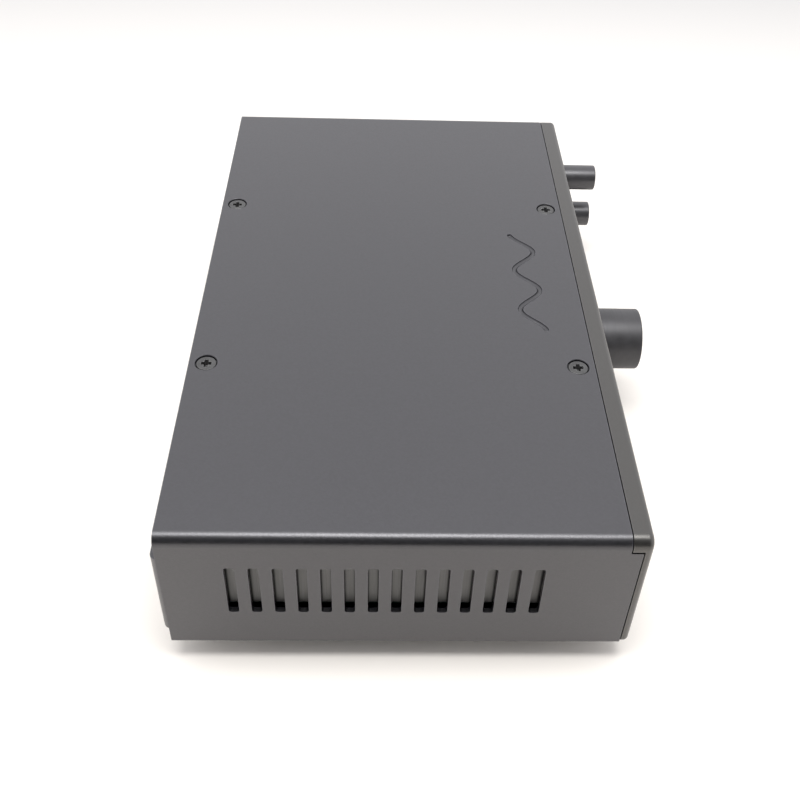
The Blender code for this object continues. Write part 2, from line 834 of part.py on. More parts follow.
def rear_panel(parent):
    """Plate with a folded top edge for the rear cover screws and a folded foot on the floor."""
    low = FLOOR_TOP + GAP
    bm = bmesh.new()
    outline = rounded((-INNER_SIDE, low), (INNER_SIDE, RETURN_TOP), OVER, COVER_BEND - GAP)
    add_prism(bm, outline, "Y", REAR_INNER, REAR_FACE)
    panel = part("rear_panel", bm, black_coat(), parent)
    folds = bmesh.new()
    for depth, under in ((REAR_RETURN_DEPTH, RETURN_UNDER), (REAR_FOOT_DEPTH, low)):
        near, far = REAR_FACE - depth, REAR_INNER + BITE
        add_box(folds, (-BRACKET_SIDE, near, under), (BRACKET_SIDE, far, under + TRAY_WALL))
    join(panel, folds)

    holes = bmesh.new()
    add_return_holes(holes, "rear")
    through = (REAR_INNER - OVER, REAR_FACE + OVER)
    for x in (XLR_RIGHT_X, XLR_LEFT_X):
        add_rod(holes, "Y", (x, XLR_Z), XLR_SHELL / 2 + GAP, *through, LARGE_ROUND)
    for x in (LINE_RIGHT_X, LINE_LEFT_X, COAXIAL_X):
        add_rod(holes, "Y", (x, LINE_Z), LINE_BARREL / 2 + GAP, *through)
    for x, z, width, height in box_sockets():
        add_prism(holes, centred((x, z), width + 2 * GAP, height + 2 * GAP), "Y", *through)
    cut(panel, holes)


def box_sockets():
    """Place and size (x, z, width, height) of each socket whose body passes through the rear panel."""
    return (
        (OPTICAL_X, OPTICAL_Z, OPTICAL_WIDTH, OPTICAL_HEIGHT),
        (USB_X, USB_Z, USB_WIDTH, USB_HEIGHT),
        (POWER_JACK_X, POWER_JACK_Z, POWER_JACK_WIDTH, POWER_JACK_HEIGHT),
    )


def side_shield(name, side, parent):
    """Plate on two legs behind the vents of one side, with toes turned inwards."""
    near = FRONT + SHIELD_FROM_FRONT
    far = BACK - SHIELD_LEG
    outer = SIDE - SHIELD_INSET
    inner = outer - SHIELD_WALL
    low = FLOOR_TOP + GAP
    bm = bmesh.new()
    outline = [
        (near, low),
        (near + SHIELD_LEG, low),
        (near + SHIELD_LEG, BASE + SHIELD_LOW),
        (far - SHIELD_LEG, BASE + SHIELD_LOW),
        (far - SHIELD_LEG, low),
        (far, low),
        (far, BASE + SHIELD_HIGH),
        (near, BASE + SHIELD_HIGH),
    ]
    add_prism(bm, outline, "X", *sorted((side * inner, side * outer)))
    shield = part(name, bm, bare_steel(), parent)
    toes = bmesh.new()
    left, right = sorted((side * (inner + BITE), side * (inner - SHIELD_TOE)))
    for start in (near, far - SHIELD_LEG):
        add_box(toes, (left, start, low), (right, start + SHIELD_LEG, low + SHIELD_WALL))
    join(shield, toes)


def cover_screw(name, end, side, parent):
    """Countersunk cross-head screw, its head just below the cover's surface."""
    x, y = cover_screw_place(end, side)
    head, thread = COVER_SCREW_HEAD / 2, THREAD / 2
    face = TOP - GAP / 2
    tip = TOP - COVER_SCREW_LENGTH
    profile = [(0, face), (head, face), (thread, face - head + thread), (thread, tip), (0, tip)]
    bm = bmesh.new()
    add_turned(bm, "Z", (x, y), profile)
    screw = part(name, bm, black_steel(), parent, (x, y, face))
    recess = bmesh.new()
    add_prism(recess, cross((x, y), CROSS_ARM, CROSS_WIDTH), "Z", face - CROSS_DEPTH, face + OVER)
    cut(screw, recess)


def foot(name, end, side, parent):
    """Tapered rubber foot with a barbed stem through the floor."""
    x, y = foot_place(end, side)
    top, bottom, stem, barb = FOOT_TOP / 2, FOOT_BOTTOM / 2, FOOT_STEM / 2, FOOT_BARB / 2
    shoulder = BASE - GAP
    above = FLOOR_TOP + GAP
    edge = arc((bottom - FOOT_ROUND, FOOT_ROUND), FOOT_ROUND, 270, 360, EDGE_STEPS)
    profile = [(0, 0)] + edge + [(top, shoulder), (stem, shoulder), (stem, above), (barb, above)]
    profile += [(stem, above + OVER), (0, above + OVER)]
    bm = bmesh.new()
    add_turned(bm, "Z", (x, y), profile)
    part(name, bm, rubber(), parent, (x, y, 0.0))


# Boards


def main_board(parent):
    """Board on the standoffs, with its cable header and a row of capacitors soldered on."""
    reach = SIDE - MAIN_BOARD_INSET
    bm = bmesh.new()
    front = FRONT_BOARD_BACK + OVER
    add_box(bm, (-reach, front, BOARD_UNDER), (reach, REAR_INNER - OVER, BOARD_TOP))
    board = part("main_board", bm, board_green(), parent)

    fitted = bmesh.new()
    header = centred((HEADER_X, main_header_y()), HEADER_WIDTH, HEADER_DEPTH)
    add_prism(fitted, header, "Z", BOARD_TOP - BITE, BOARD_TOP + MAIN_HEADER_TALL)
    for index in range(CAPACITOR_COUNT):
        x = POWER_JACK_X + CAPACITOR_PITCH * index
        y = BACK - STANDOFF_FROM_BACK - CAPACITOR_PITCH
        add_rod(fitted, "Z", (x, y), CAPACITOR / 2, BOARD_TOP - BITE, BOARD_TOP + CAPACITOR_TALL)
    join(board, fitted)

    holes = bmesh.new()
    for _, end, side in CORNERS:
        centre = standoff_place(end, side)
        add_rod(holes, "Z", centre, THREAD / 2 + GAP, BOARD_UNDER - OVER, BOARD_TOP + OVER, SMALL_ROUND)
    cut(board, holes)


def main_header_y():
    return FRONT_BOARD_BACK + HEADER_DEPTH + GAP + RIBBON_REACH


def front_board(parent):
    """Upright board that carries the controls, with openings for the two jacks."""
    reach = SIDE - FRONT_BOARD_INSET
    low, high = BASE + FRONT_BOARD_LOW, BASE + FRONT_BOARD_HIGH
    bm = bmesh.new()
    add_box(bm, (-reach, FRONT_BOARD_FRONT, low), (reach, FRONT_BOARD_BACK, high))
    board = part("front_board", bm, board_green(), parent)

    header = bmesh.new()
    outline = centred((HEADER_X, BASE + FRONT_HEADER_Z), HEADER_WIDTH, HEADER_DEPTH)
    add_prism(header, outline, "Y", FRONT_BOARD_BACK - BITE, FRONT_BOARD_BACK + HEADER_DEPTH)
    join(board, header)

    holes = bmesh.new()
    through = (FRONT_BOARD_FRONT - OVER, FRONT_BOARD_BACK + OVER)
    for x, width, bottom, top in jack_boxes():
        outline = centred((x, (bottom + top) / 2), width + 2 * SLACK, top - bottom + 2 * SLACK)
        add_prism(holes, outline, "Y", *through)
    cut(board, holes)


def jack_boxes():
    """Place and size (x, width, bottom, top) of the two jacks' bodies."""
    return (
        (HEADPHONE_X, HEADPHONE_WIDTH, SEAT, MIDDLE + HEADPHONE_ABOVE),
        (LEFT_COLUMN_X, EARPHONE_WIDTH, SEAT, EARPHONE_Z + EARPHONE_ABOVE),
    )


def board_screw(name, end, side, parent):
    """Pan-head screw through the main board into a standoff."""
    x, y = standoff_place(end, side)
    head, thread = BOARD_SCREW_HEAD / 2, THREAD / 2
    tip = BOARD_TOP - BOARD_SCREW_LENGTH
    dome = SEAT + BOARD_SCREW_TALL
    bm = bmesh.new()
    profile = [(0, dome), (head - BUTTON_EDGE, dome), (head, dome - BUTTON_EDGE), (head, SEAT)]
    add_turned(bm, "Z", (x, y), profile + [(thread, SEAT), (thread, tip), (0, tip)], SMALL_ROUND)
    screw = part(name, bm, bare_steel(), parent, (x, y, SEAT))
    recess = bmesh.new()
    add_prism(recess, cross((x, y), CROSS_ARM, CROSS_WIDTH), "Z", dome - CROSS_DEPTH, dome + OVER)
    cut(screw, recess)


def ribbon_cable(parent):
    """Flat cable that leaves the front board level and bends down to the main board."""
    start = FRONT_BOARD_BACK + HEADER_DEPTH + GAP
    level = BASE + FRONT_HEADER_Z
    centre = (start, level - RIBBON_REACH)
    foot_z = BOARD_TOP + MAIN_HEADER_TALL + GAP
    half = RIBBON_WALL / 2
    outer = arc(centre, RIBBON_REACH + half, 90, 0, 2 * BEND_STEPS)
    inner = arc(centre, RIBBON_REACH - half, 0, 90, 2 * BEND_STEPS)
    outline = outer + [(outer[-1][0], foot_z), (inner[0][0], foot_z)] + inner
    width = HEADER_WIDTH / 2 - OVER
    bm = bmesh.new()
    add_prism(bm, outline, "X", HEADER_X - width, HEADER_X + width)
    part("ribbon_cable", bm, ribbon_grey(), parent)


def chip(name, centre, size, tall, parent):
    bm = bmesh.new()
    add_prism(bm, centred(centre, size, size), "Z", SEAT, SEAT + tall)
    part(name, bm, black_plastic(), parent)


# Front controls


def display(parent):
    """Clear window, flush in the panel with a lip behind it, and the display on its carrier."""
    lip_front = PLATE_BACK + GAP
    lip_back = lip_front + DISPLAY_LIP_WALL
    bm = bmesh.new()
    add_prism(bm, display_outline(0.0), "Y", FRONT + DISPLAY_SUNK, lip_front + BITE)
    window = part("display_window", bm, display_glass(), parent)
    lip = bmesh.new()
    add_prism(lip, display_outline(DISPLAY_LIP), "Y", lip_front, lip_back)
    join(window, lip)

    frame_front = lip_back + GAP
    frame_back = UPRIGHT_FRONT - GAP
    bm = bmesh.new()
    add_prism(bm, display_outline(DISPLAY_LIP), "Y", frame_front, frame_back)
    module = part("display_module", bm, black_plastic(), parent)
    carrier = bmesh.new()
    add_prism(carrier, carrier_outline(0.0), "Y", frame_back - BITE, CONTROL_BACK)
    join(module, carrier)


def push_button(button, parent):
    """Round cap with a collar behind the panel and a stem that reaches into its switch."""
    cap = button.cap / 2
    face = FRONT - button.proud
    collar = PLATE_BACK + GAP
    stem_end = CONTROL_BACK - SWITCH_DEPTH + SWITCH_BORE_DEPTH - PUSH - GAP
    axis = axis_empty(f"{button.name}_axis", (button.x, collar, button.z), parent)
    profile = [
        (0, face),
        (cap - BUTTON_EDGE, face),
        (cap, face + BUTTON_EDGE),
        (cap, collar),
        (cap + BUTTON_FLANGE, collar),
        (cap + BUTTON_FLANGE, collar + BUTTON_FLANGE),
        (STEM / 2, collar + BUTTON_FLANGE),
        (STEM / 2, stem_end),
        (0, stem_end),
    ]
    bm = bmesh.new()
    add_turned(bm, "Y", (button.x, button.z), profile)
    part(button.name, bm, button_plastic(), axis, (button.x, collar, button.z))


def button_switch(button, parent):
    """Square switch on the front board, open in front for the button's stem."""
    front = CONTROL_BACK - SWITCH_DEPTH
    bm = bmesh.new()
    add_prism(bm, centred((button.x, button.z), button.body, button.body), "Y", front, CONTROL_BACK)
    switch = part(button.switch, bm, black_plastic(), parent)
    bore = bmesh.new()
    end = front + SWITCH_BORE_DEPTH
    add_rod(bore, "Y", (button.x, button.z), STEM / 2 + GAP, front - OVER, end, SMALL_ROUND)
    cut(switch, bore)


def encoder_body(encoder, parent):
    """Square housing with a threaded bush through the panel and a chamber for the shaft's collar."""
    centre = (encoder.x, encoder.z)
    bm = bmesh.new()
    add_prism(bm, centred(centre, encoder.body, encoder.body), "Y", CONTROL_FRONT, CONTROL_BACK)
    housing = part(f"{encoder.name}_encoder", bm, bare_steel(), parent)
    bush = bmesh.new()
    add_rod(bush, "Y", centre, encoder.bush / 2, FRONT + BUSH_SUNK, CONTROL_FRONT + BITE)
    join(housing, bush)
    hollow = bmesh.new()
    mouth = FRONT - OVER
    chamber = CONTROL_FRONT + CHAMBER_FRONT_WALL
    end = CONTROL_BACK - CHAMBER_BACK_WALL
    bore = encoder.bore / 2
    wide = bore + COLLAR
    profile = [(0, mouth), (bore, mouth), (bore, chamber), (wide, chamber), (wide, end), (0, end)]
    add_turned(hollow, "Y", centre, profile)
    cut(housing, hollow)


def encoder_moving(encoder, parent):
    """Press disc, shaft and knob, on empties that lie on the encoder's axis."""
    centre = (encoder.x, encoder.z)
    shaft = encoder.shaft / 2
    wide = encoder.bore / 2 + COLLAR - GAP
    collar = CONTROL_FRONT + CHAMBER_FRONT_WALL + GAP
    collar_back = collar + COLLAR_WALL
    disc = collar_back + GAP
    face = FRONT - encoder.proud
    shaft_front = face + KNOB_FACE + GAP
    origin = (encoder.x, FRONT, encoder.z)
    slide = axis_empty(f"{encoder.name}_press_axis", origin, parent)
    turn = axis_empty(f"{encoder.name}_turn_axis", origin, slide)

    bm = bmesh.new()
    add_rod(bm, "Y", centre, wide, disc, disc + DISC_WALL)
    part(f"{encoder.name}_press_disc", bm, black_plastic(), slide, (encoder.x, disc, encoder.z))

    bm = bmesh.new()
    profile = [(0, shaft_front), (shaft, shaft_front), (shaft, collar), (wide, collar)]
    add_turned(bm, "Y", centre, profile + [(wide, collar_back), (0, collar_back)])
    part(f"{encoder.name}_shaft", bm, bare_steel(), turn, origin)

    radius = encoder.knob / 2
    back = FRONT - KNOB_CLEAR
    bore = shaft + GAP
    skirt = radius - KNOB_SKIRT_WALL
    edge = arc((face + KNOB_EDGE, radius - KNOB_EDGE), KNOB_EDGE, 180, 90, EDGE_STEPS)
    profile = [(0, face)] + [(height, along) for along, height in edge]
    inside = back - KNOB_SKIRT_DEPTH
    profile += [(radius, back), (skirt, back), (skirt, inside), (bore, inside)]
    profile += [(bore, face + KNOB_FACE), (0, face + KNOB_FACE)]
    bm = bmesh.new()
    add_turned(bm, "Y", centre, profile, LARGE_ROUND if encoder.name == "volume" else MEDIUM_ROUND)
    part(f"{encoder.name}_knob", bm, knob_metal(), turn, origin)


def headphone_jack(parent):
    """Large jack whose nose is flush in the panel, with the nut behind the panel."""
    add_jack("headphone_jack", jack_boxes()[0], MIDDLE, HEADPHONE_NOSE, HEADPHONE_BORE,
             HEADPHONE_BORE_DEPTH, HEADPHONE_LENGTH, parent)
    bm = bmesh.new()
    hexagon = arc((HEADPHONE_X, MIDDLE), NUT_ACROSS / math.sqrt(3), 0, 300, 5)
    add_prism(bm, hexagon, "Y", PLATE_BACK + GAP, PLATE_BACK + GAP + NUT_WALL)
    nut = part("headphone_nut", bm, bare_steel(), parent, (HEADPHONE_X, PLATE_BACK, MIDDLE))
    bore = bmesh.new()
    through = (PLATE_BACK, PLATE_BACK + NUT_WALL + OVER)
    add_rod(bore, "Y", (HEADPHONE_X, MIDDLE), HEADPHONE_NOSE / 2 + GAP, *through)
    cut(nut, bore)


def earphone_jack(parent):
    add_jack("earphone_jack", jack_boxes()[1], EARPHONE_Z, EARPHONE_NOSE, EARPHONE_BORE,
             EARPHONE_BORE_DEPTH, EARPHONE_LENGTH, parent)


def add_jack(name, box, z, nose, bore, bore_depth, length, parent):
    """Jack body on the main board with a round nose in front and a blind bore."""
    x, width, bottom, top = box
    front = FRONT + JACK_SUNK
    bm = bmesh.new()
    add_box(bm, (x - width / 2, CONTROL_FRONT, bottom), (x + width / 2, CONTROL_FRONT + length, top))
    jack = part(name, bm, black_plastic(), parent)
    rod = bmesh.new()
    add_rod(rod, "Y", (x, z), nose / 2, front, CONTROL_FRONT + BITE)
    join(jack, rod)
    hole = bmesh.new()
    add_rod(hole, "Y", (x, z), bore / 2, front - OVER, front + bore_depth)
    cut(jack, hole)


# Rear sockets


def xlr_output(name, x, parent):
    """Round three-pin output with its pins in a deep recess."""
    half = XLR_WIDTH / 2
    outline = rectangle((x - half, SEAT), (x + half, XLR_Z + XLR_HALF_HEIGHT))
    bm = bmesh.new()
    add_prism(bm, outline, "Y", SOCKET_FRONT - XLR_DEPTH, SOCKET_FRONT)
    socket = part(name, bm, black_plastic(), parent)
    shell = bmesh.new()
    add_rod(shell, "Y", (x, XLR_Z), XLR_SHELL / 2, SOCKET_FRONT - BITE, SOCKET_FACE, LARGE_ROUND)
    join(socket, shell)
    recess = bmesh.new()
    floor = SOCKET_FACE - XLR_RECESS_DEPTH
    add_rod(recess, "Y", (x, XLR_Z), XLR_RECESS / 2, floor, SOCKET_FACE + OVER, LARGE_ROUND)
    cut(socket, recess)
    pins = bmesh.new()
    for angle in (150, 30, 270):
        centre = arc((x, XLR_Z), XLR_PIN_CIRCLE / 2, angle, angle, 1)[0]
        pin, tip, root = XLR_PIN / 2, SOCKET_FACE - XLR_PIN_SUNK, floor - BITE
        profile = [(0, root), (pin, root), (pin, tip - pin / 2), (pin / 2, tip), (0, tip)]
        add_turned(pins, "Y", centre, profile, SMALL_ROUND)
    join(socket, pins)


def line_socket(name, x, parent):
    """Phono socket: body on the board, round barrel through the panel and a collar outside it."""
    half = LINE_WIDTH / 2
    end = BACK + CONNECTOR_PROUD
    barrel, hole = LINE_BARREL / 2, LINE_HOLE / 2
    pit = barrel - LINE_SLEEVE_WALL
    collar = REAR_FACE + GAP
    bm = bmesh.new()
    add_box(bm, (x - half, SOCKET_FRONT - LINE_DEPTH, SEAT), (x + half, SOCKET_FRONT, LINE_Z + half))
    socket = part(name, bm, socket_metal(), parent)
    rod = bmesh.new()
    start = SOCKET_FRONT - BITE
    profile = [
        (0, start),
        (barrel, start),
        (barrel, collar),
        (LINE_COLLAR / 2, collar),
        (LINE_COLLAR / 2, collar + LINE_COLLAR_WALL),
        (barrel, collar + LINE_COLLAR_WALL),
        (barrel, end),
        (pit, end),
        (pit, end - LINE_PIT),
        (hole, end - LINE_PIT),
        (hole, end - LINE_HOLE_DEPTH),
        (0, end - LINE_HOLE_DEPTH),
    ]
    add_turned(rod, "Y", (x, LINE_Z), profile)
    join(socket, rod)


def box_socket(name, socket, depth, finish, parent):
    """Body on the board that passes through the rear panel."""
    x, z, width, height = socket
    low = (x - width / 2, SOCKET_FRONT - depth, z - height / 2)
    bm = bmesh.new()
    add_box(bm, low, (x + width / 2, SOCKET_FACE, z + height / 2))
    return part(name, bm, finish, parent)


def usb_port(parent):
    box = box_sockets()[1]
    port = box_socket("usb_port", box, USB_DEPTH, socket_metal(), parent)
    centre = box[:2]
    floor = SOCKET_FACE - USB_MOUTH_DEPTH
    mouth = bmesh.new()
    add_prism(mouth, centred(centre, USB_MOUTH_WIDTH, USB_MOUTH_HEIGHT), "Y", floor, SOCKET_FACE + OVER)
    cut(port, mouth)
    tongue = bmesh.new()
    outline = centred(centre, USB_TONGUE_WIDTH, USB_TONGUE_HEIGHT)
    add_prism(tongue, outline, "Y", floor - BITE, SOCKET_FACE - OVER)
    join(port, tongue)


def dc_jack(parent):
    box = box_sockets()[2]
    jack = box_socket("dc_jack", box, POWER_JACK_DEPTH, black_plastic(), parent)
    centre = box[:2]
    floor = SOCKET_FACE - POWER_JACK_BORE_DEPTH
    bore = bmesh.new()
    add_rod(bore, "Y", centre, POWER_JACK_BORE / 2, floor, SOCKET_FACE + OVER)
    cut(jack, bore)
    pin = bmesh.new()
    add_rod(pin, "Y", centre, POWER_JACK_PIN / 2, floor - BITE, SOCKET_FACE - OVER, SMALL_ROUND)
    join(jack, pin)


def optical_port(parent):
    """Square port with a shutter that hangs from two pins at the top of its mouth."""
    box = box_sockets()[0]
    port = box_socket("optical_port", box, OPTICAL_DEPTH, black_plastic(), parent)
    x, z = box[:2]
    half = OPTICAL_MOUTH / 2
    mouth = bmesh.new()
    low = (x - half, SOCKET_FACE - OPTICAL_MOUTH_DEPTH, z - half)
    add_box(mouth, low, (x + half, SOCKET_FACE + OVER, z + half))
    cut(port, mouth)

    y, pivot = shutter_axis(z)
    sockets = bmesh.new()
    pin_reach = half - GAP + SHUTTER_PIN_LENGTH
    for side in (-1, 1):
        ends = sorted((x + side * (half - BITE), x + side * (pin_reach + GAP)))
        add_rod(sockets, "X", (y, pivot), SHUTTER_PIN / 2 + GAP, *ends, SMALL_ROUND)
    cut(port, sockets)

    axis = axis_empty("optical_shutter_axis", (x, y, pivot), parent)
    bm = bmesh.new()
    wall = SHUTTER_WALL / 2
    flap = rectangle((y - wall, z - half + GAP), (y + wall, pivot + wall))
    add_prism(bm, flap, "X", x - half + GAP, x + half - GAP)
    shutter = part("optical_shutter", bm, black_plastic(), axis, (x, y, pivot))
    pins = bmesh.new()
    add_rod(pins, "X", (y, pivot), SHUTTER_PIN / 2, x - pin_reach, x + pin_reach, SMALL_ROUND)
    join(shutter, pins)


def shutter_axis(z):
    """Where the shutter's axis crosses (y, z): just inside the mouth, under its ceiling."""
    return SOCKET_FACE - SHUTTER_SUNK, z + OPTICAL_MOUTH / 2 - SHUTTER_WALL


def clear_scene():
    for old in list(bpy.data.objects):
        bpy.data.objects.remove(old)


def build():
    clear_scene()
    frame = axis_empty("desktop_dac", (0.0, 0.0, 0.0))
    top_cover(frame)
    front_panel(frame)
    bottom_tray(frame)
    rear_panel(frame)
    side_shield("side_shield_left", -1, frame)
    side_shield("side_shield_right", 1, frame)
    for name, end, side in CORNERS:
        cover_screw(f"cover_screw_{name}", end, side, frame)
        foot(f"foot_{name}", end, side, frame)
        board_screw(f"board_screw_{name}", end, side, frame)
    main_board(frame)
    front_board(frame)
    ribbon_cable(frame)
    chip("processor_chip", (0.0, 0.0), PROCESSOR, PROCESSOR_TALL, frame)
    chip("converter_chip", (PROCESSOR + CONVERTER, 0.0), CONVERTER, CONVERTER_TALL, frame)
    display(frame)
    for button in BUTTONS:
        push_button(button, frame)
        button_switch(button, frame)
    for encoder in ENCODERS:
        encoder_body(encoder, frame)
        encoder_moving(encoder, frame)
    headphone_jack(frame)
    earphone_jack(frame)
    xlr_output("xlr_output_right", XLR_RIGHT_X, frame)
    xlr_output("xlr_output_left", XLR_LEFT_X, frame)
    line_socket("line_output_right", LINE_RIGHT_X, frame)
    line_socket("line_output_left", LINE_LEFT_X, frame)
    line_socket("coaxial_input", COAXIAL_X, frame)
    optical_port(frame)
    usb_port(frame)
    dc_jack(frame)


build()
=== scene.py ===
"""Looks of a half-width desktop audio converter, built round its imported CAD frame.

The front panel faces -Y, +X is to the right seen from the front, and the feet stand on Z = 0.
Sizes are in metres.
"""

import math

import bmesh
import bpy
from mathutils import Matrix, Vector


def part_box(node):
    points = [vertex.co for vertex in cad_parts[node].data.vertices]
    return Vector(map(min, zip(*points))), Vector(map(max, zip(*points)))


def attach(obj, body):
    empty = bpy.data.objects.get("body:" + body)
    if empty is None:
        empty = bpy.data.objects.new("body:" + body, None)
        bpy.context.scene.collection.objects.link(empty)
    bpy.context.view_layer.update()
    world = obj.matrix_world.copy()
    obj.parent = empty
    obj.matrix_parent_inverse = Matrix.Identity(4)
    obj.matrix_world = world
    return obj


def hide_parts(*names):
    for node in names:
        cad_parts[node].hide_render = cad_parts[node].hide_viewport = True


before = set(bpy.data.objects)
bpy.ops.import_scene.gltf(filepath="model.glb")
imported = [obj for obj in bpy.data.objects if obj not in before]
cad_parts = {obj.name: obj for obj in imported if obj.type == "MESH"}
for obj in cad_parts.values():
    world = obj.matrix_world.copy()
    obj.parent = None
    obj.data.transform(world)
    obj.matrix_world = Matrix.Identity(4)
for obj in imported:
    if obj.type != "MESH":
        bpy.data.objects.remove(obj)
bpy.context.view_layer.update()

NEUTRAL = (1.0, 1.0, 1.0)
NOISE_LOW = 0.3  # most of a noise lies between these two values
NOISE_HIGH = 0.7

# Planes and corners of the CAD frame
COVER_LOW, COVER_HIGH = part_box("top_cover")
PANEL_LOW, PANEL_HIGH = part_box("front_panel")
SIDE = COVER_HIGH.x
TOP = COVER_HIGH.z
BASE = PANEL_LOW.z
FRONT = PANEL_LOW.y
PANEL_BACK = PANEL_HIGH.y
TAB_BACK = COVER_HIGH.y
MIDDLE = (BASE + TOP) / 2

# Cover sheet
WALL = 0.0015
BEND = 0.0032
SEAM = 0.0003
TAB_PROUD = 0.0015
BACK = TAB_BACK - TAB_PROUD
COVER_FRONT = PANEL_BACK + SEAM
SHEET_EDGE = 0.00022

# Rear tabs
TAB_LOW = 0.0060
TAB_HIGH = 0.0360
TAB_LENGTH = 0.0080
TAB_BEND = 0.0022
TAB_LEG = 0.0060

# Side vents
VENT_WIDTH = 0.0028
VENT_LENGTH = 0.0189
VENT_LOW = 0.0138
VENT_CORNER = 0.0008
VENT_PITCH = 0.00614
VENT_FROM_FRONT = 0.0280
VENT_FROM_BACK = 0.0180

# Wave groove
WAVE_LENGTH = 0.0520
WAVE_SWING = 0.0036
WAVE_TURNS = 2.5
WAVE_WIDTH = 0.0018
WAVE_DEPTH = 0.0008
WAVE_FROM_FRONT = 0.0219

# Front panel
PANEL_EDGE = 0.0016
PANEL_FLANGE = 0.0016
PANEL_PLATE = 0.0022
PANEL_WRAP = 0.0040
PANEL_FOOT_CORNER = 0.0018
PLATE_BACK = FRONT + PANEL_PLATE
RELIEF = 0.0006
INNER_SIDE = SIDE - WALL - 0.0004
HOLE_CLEAR = 0.0003
PANEL_EDGE_STEPS = 8
PANEL_HOLE_EDGE = 0.00015
DISPLAY_CORNER = 0.0012
DISPLAY_LIP = 0.0010
DISPLAY_CHAMFER = 0.00025
DISPLAY_BORDER = {"X": 0.0032, "Z": 0.0030}
DISPLAY_BORDER_BLUR = 0.0001

# Widths of what comes through the front panel
VOLUME_BUSH = 0.0090
SMALL_BUSH = 0.0070
POWER_CAP = 0.0090
MENU_CAP = 0.0060
HEADPHONE_NOSE = 0.0114
EARPHONE_NOSE = 0.0060
EARPHONE_Z = 2 * MIDDLE - (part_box("power_button")[0].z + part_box("power_button")[1].z) / 2

# Countersinks and screws
SINK_WIDTH = 0.0070
SINK_LAND = 0.0002
SINK_STRAIGHT = 0.0011
HEAD_SUNK = 0.0002
HEAD_RIM = 0.00022
CROSS_ARM = 0.0032
CROSS_WIDTH = 0.0010
CROSS_DEPTH = 0.0017
THREAD = 0.0024

# Feet, knobs and buttons
FOOT_TAPER = 0.0010
FOOT_STEM = 0.0034
FOOT_BARB = 0.0054
FOOT_EDGE = 0.0006
FOOT_RING_DEPTH = 0.0003
FOOT_RING = (0.45, 0.55)  # where the ring ends, as shares of the sole
VOLUME_SHAFT = 0.0060
SMALL_SHAFT = 0.0040
KNOB_EDGE = 0.0005
KNOB_FACE = 0.0024
KNOB_SKIRT_WALL = 0.0016
KNOB_SKIRT_DEPTH = 0.0024
BUTTON_FLANGE = 0.0008
BUTTON_EDGE = 0.0003
BUTTON_RIM = 0.0008
POWER_DISH = 0.0002
MENU_DISH = 0.00015
DISH_STEPS = 8
STEM = 0.0029

# Jacks and sockets
HEADPHONE_BORE = 0.0066
HEADPHONE_BORE_DEPTH = 0.0310
EARPHONE_BORE = 0.0037
EARPHONE_BORE_DEPTH = 0.0150
JACK_LENGTH = {"headphone_jack": 0.0290, "earphone_jack": 0.0140}
JACK_FLARE = 0.0014
JACK_FLARE_DEPTH = 0.0004
SPRING_PLACES = (0.25, 0.55)  # shares of the bore's depth
SPRING_HALF_WIDTH = 0.16  # these three are shares of the bore's width
SPRING_RISE = 0.07
SPRING_HALF_LENGTH = 0.45
SPRING_ROOT = 0.0004
SOCKET_PROUD = 0.0010
XLR_HALF_HEIGHT = 0.0130
XLR_SHELL = 0.0210
XLR_RECESS = 0.0174
XLR_RECESS_DEPTH = 0.0130
XLR_PIN = 0.0024
XLR_PIN_CIRCLE = 0.0086
XLR_PIN_SUNK = 0.0045
XLR_PIN_ANGLES = (150, 30, 270)
XLR_PIN_TIP = (0.6, 0.55)  # length and end of the tip, as shares of the pin's radius
XLR_BLOCK_SUNK = 0.0006
XLR_KEY_WIDTH = 0.0020
XLR_KEY_ROOT = 0.0005
XLR_KEY_RISE = 0.0009
XLR_KEY_SUNK = 0.0016
XLR_LATCH_WIDTH = 0.0046
XLR_LATCH_ROOT = 0.0008
XLR_LATCH_CUT = 0.0011
XLR_LATCH_SUNK = 0.0020
LINE_BLOCK = 0.0100
LINE_DEPTH = 0.0115
LINE_BARREL = 0.0083
LINE_SLEEVE_WALL = 0.0007
LINE_HOLE = 0.0034
LINE_HOLE_DEPTH = 0.0080
LINE_COLLAR = 0.0106
LINE_COLLAR_WALL = 0.0018
LINE_INSULATOR_SUNK = 0.0006
LINE_CONTACT_WALL = 0.0003
LINE_CONTACT_SUNK = 0.0010
LINE_INSULATOR_STEP = 0.75  # a share of the insulator's radius
USB_MOUTH_WIDTH = 0.0086
USB_MOUTH_HEIGHT = 0.0079
USB_MOUTH_DEPTH = 0.0090
USB_TONGUE_WIDTH = 0.0056
USB_TONGUE_HEIGHT = 0.0032
USB_MOUTH_CORNER = 0.0017
USB_CONTACT_OFFSET = 0.00125
USB_CONTACT_WIDTH = 0.0010
USB_CONTACT_ROOT = 0.0001
USB_CONTACT_PROUD = 0.00015
USB_CONTACT_SUNK = 0.0022
DC_BORE = 0.0062
DC_BORE_DEPTH = 0.0095
DC_PIN = 0.0021
DC_PIN_EDGE = 0.0006
DC_FLARE = 0.0013
DC_FLARE_DEPTH = 0.0003
DC_SPLIT = 0.0004
DC_SPLIT_DEPTH = 0.0030

# Inside
RIBBON_PITCH = 0.00127
RIBBON_BLUR = 0.00007

# Shared edges and clearances
EDGE = 0.00012
FINE_EDGE = 0.0002
BLOCK_EDGE = 0.0003
NOSE_EDGE = 0.0004
TRAY_EDGE = 0.00025
SHUTTER_EDGE = 0.00006
HAIR = 0.00005  # the finest edge and the closest fit
LAP = 0.0002  # how far joined solids reach into each other
OVER = 0.0010  # how far a cutting solid reaches past what it cuts

# Mesh steps
BEND_STEPS = 14
ROUND = 64
FINE_ROUND = 128
PIN_ROUND = 32

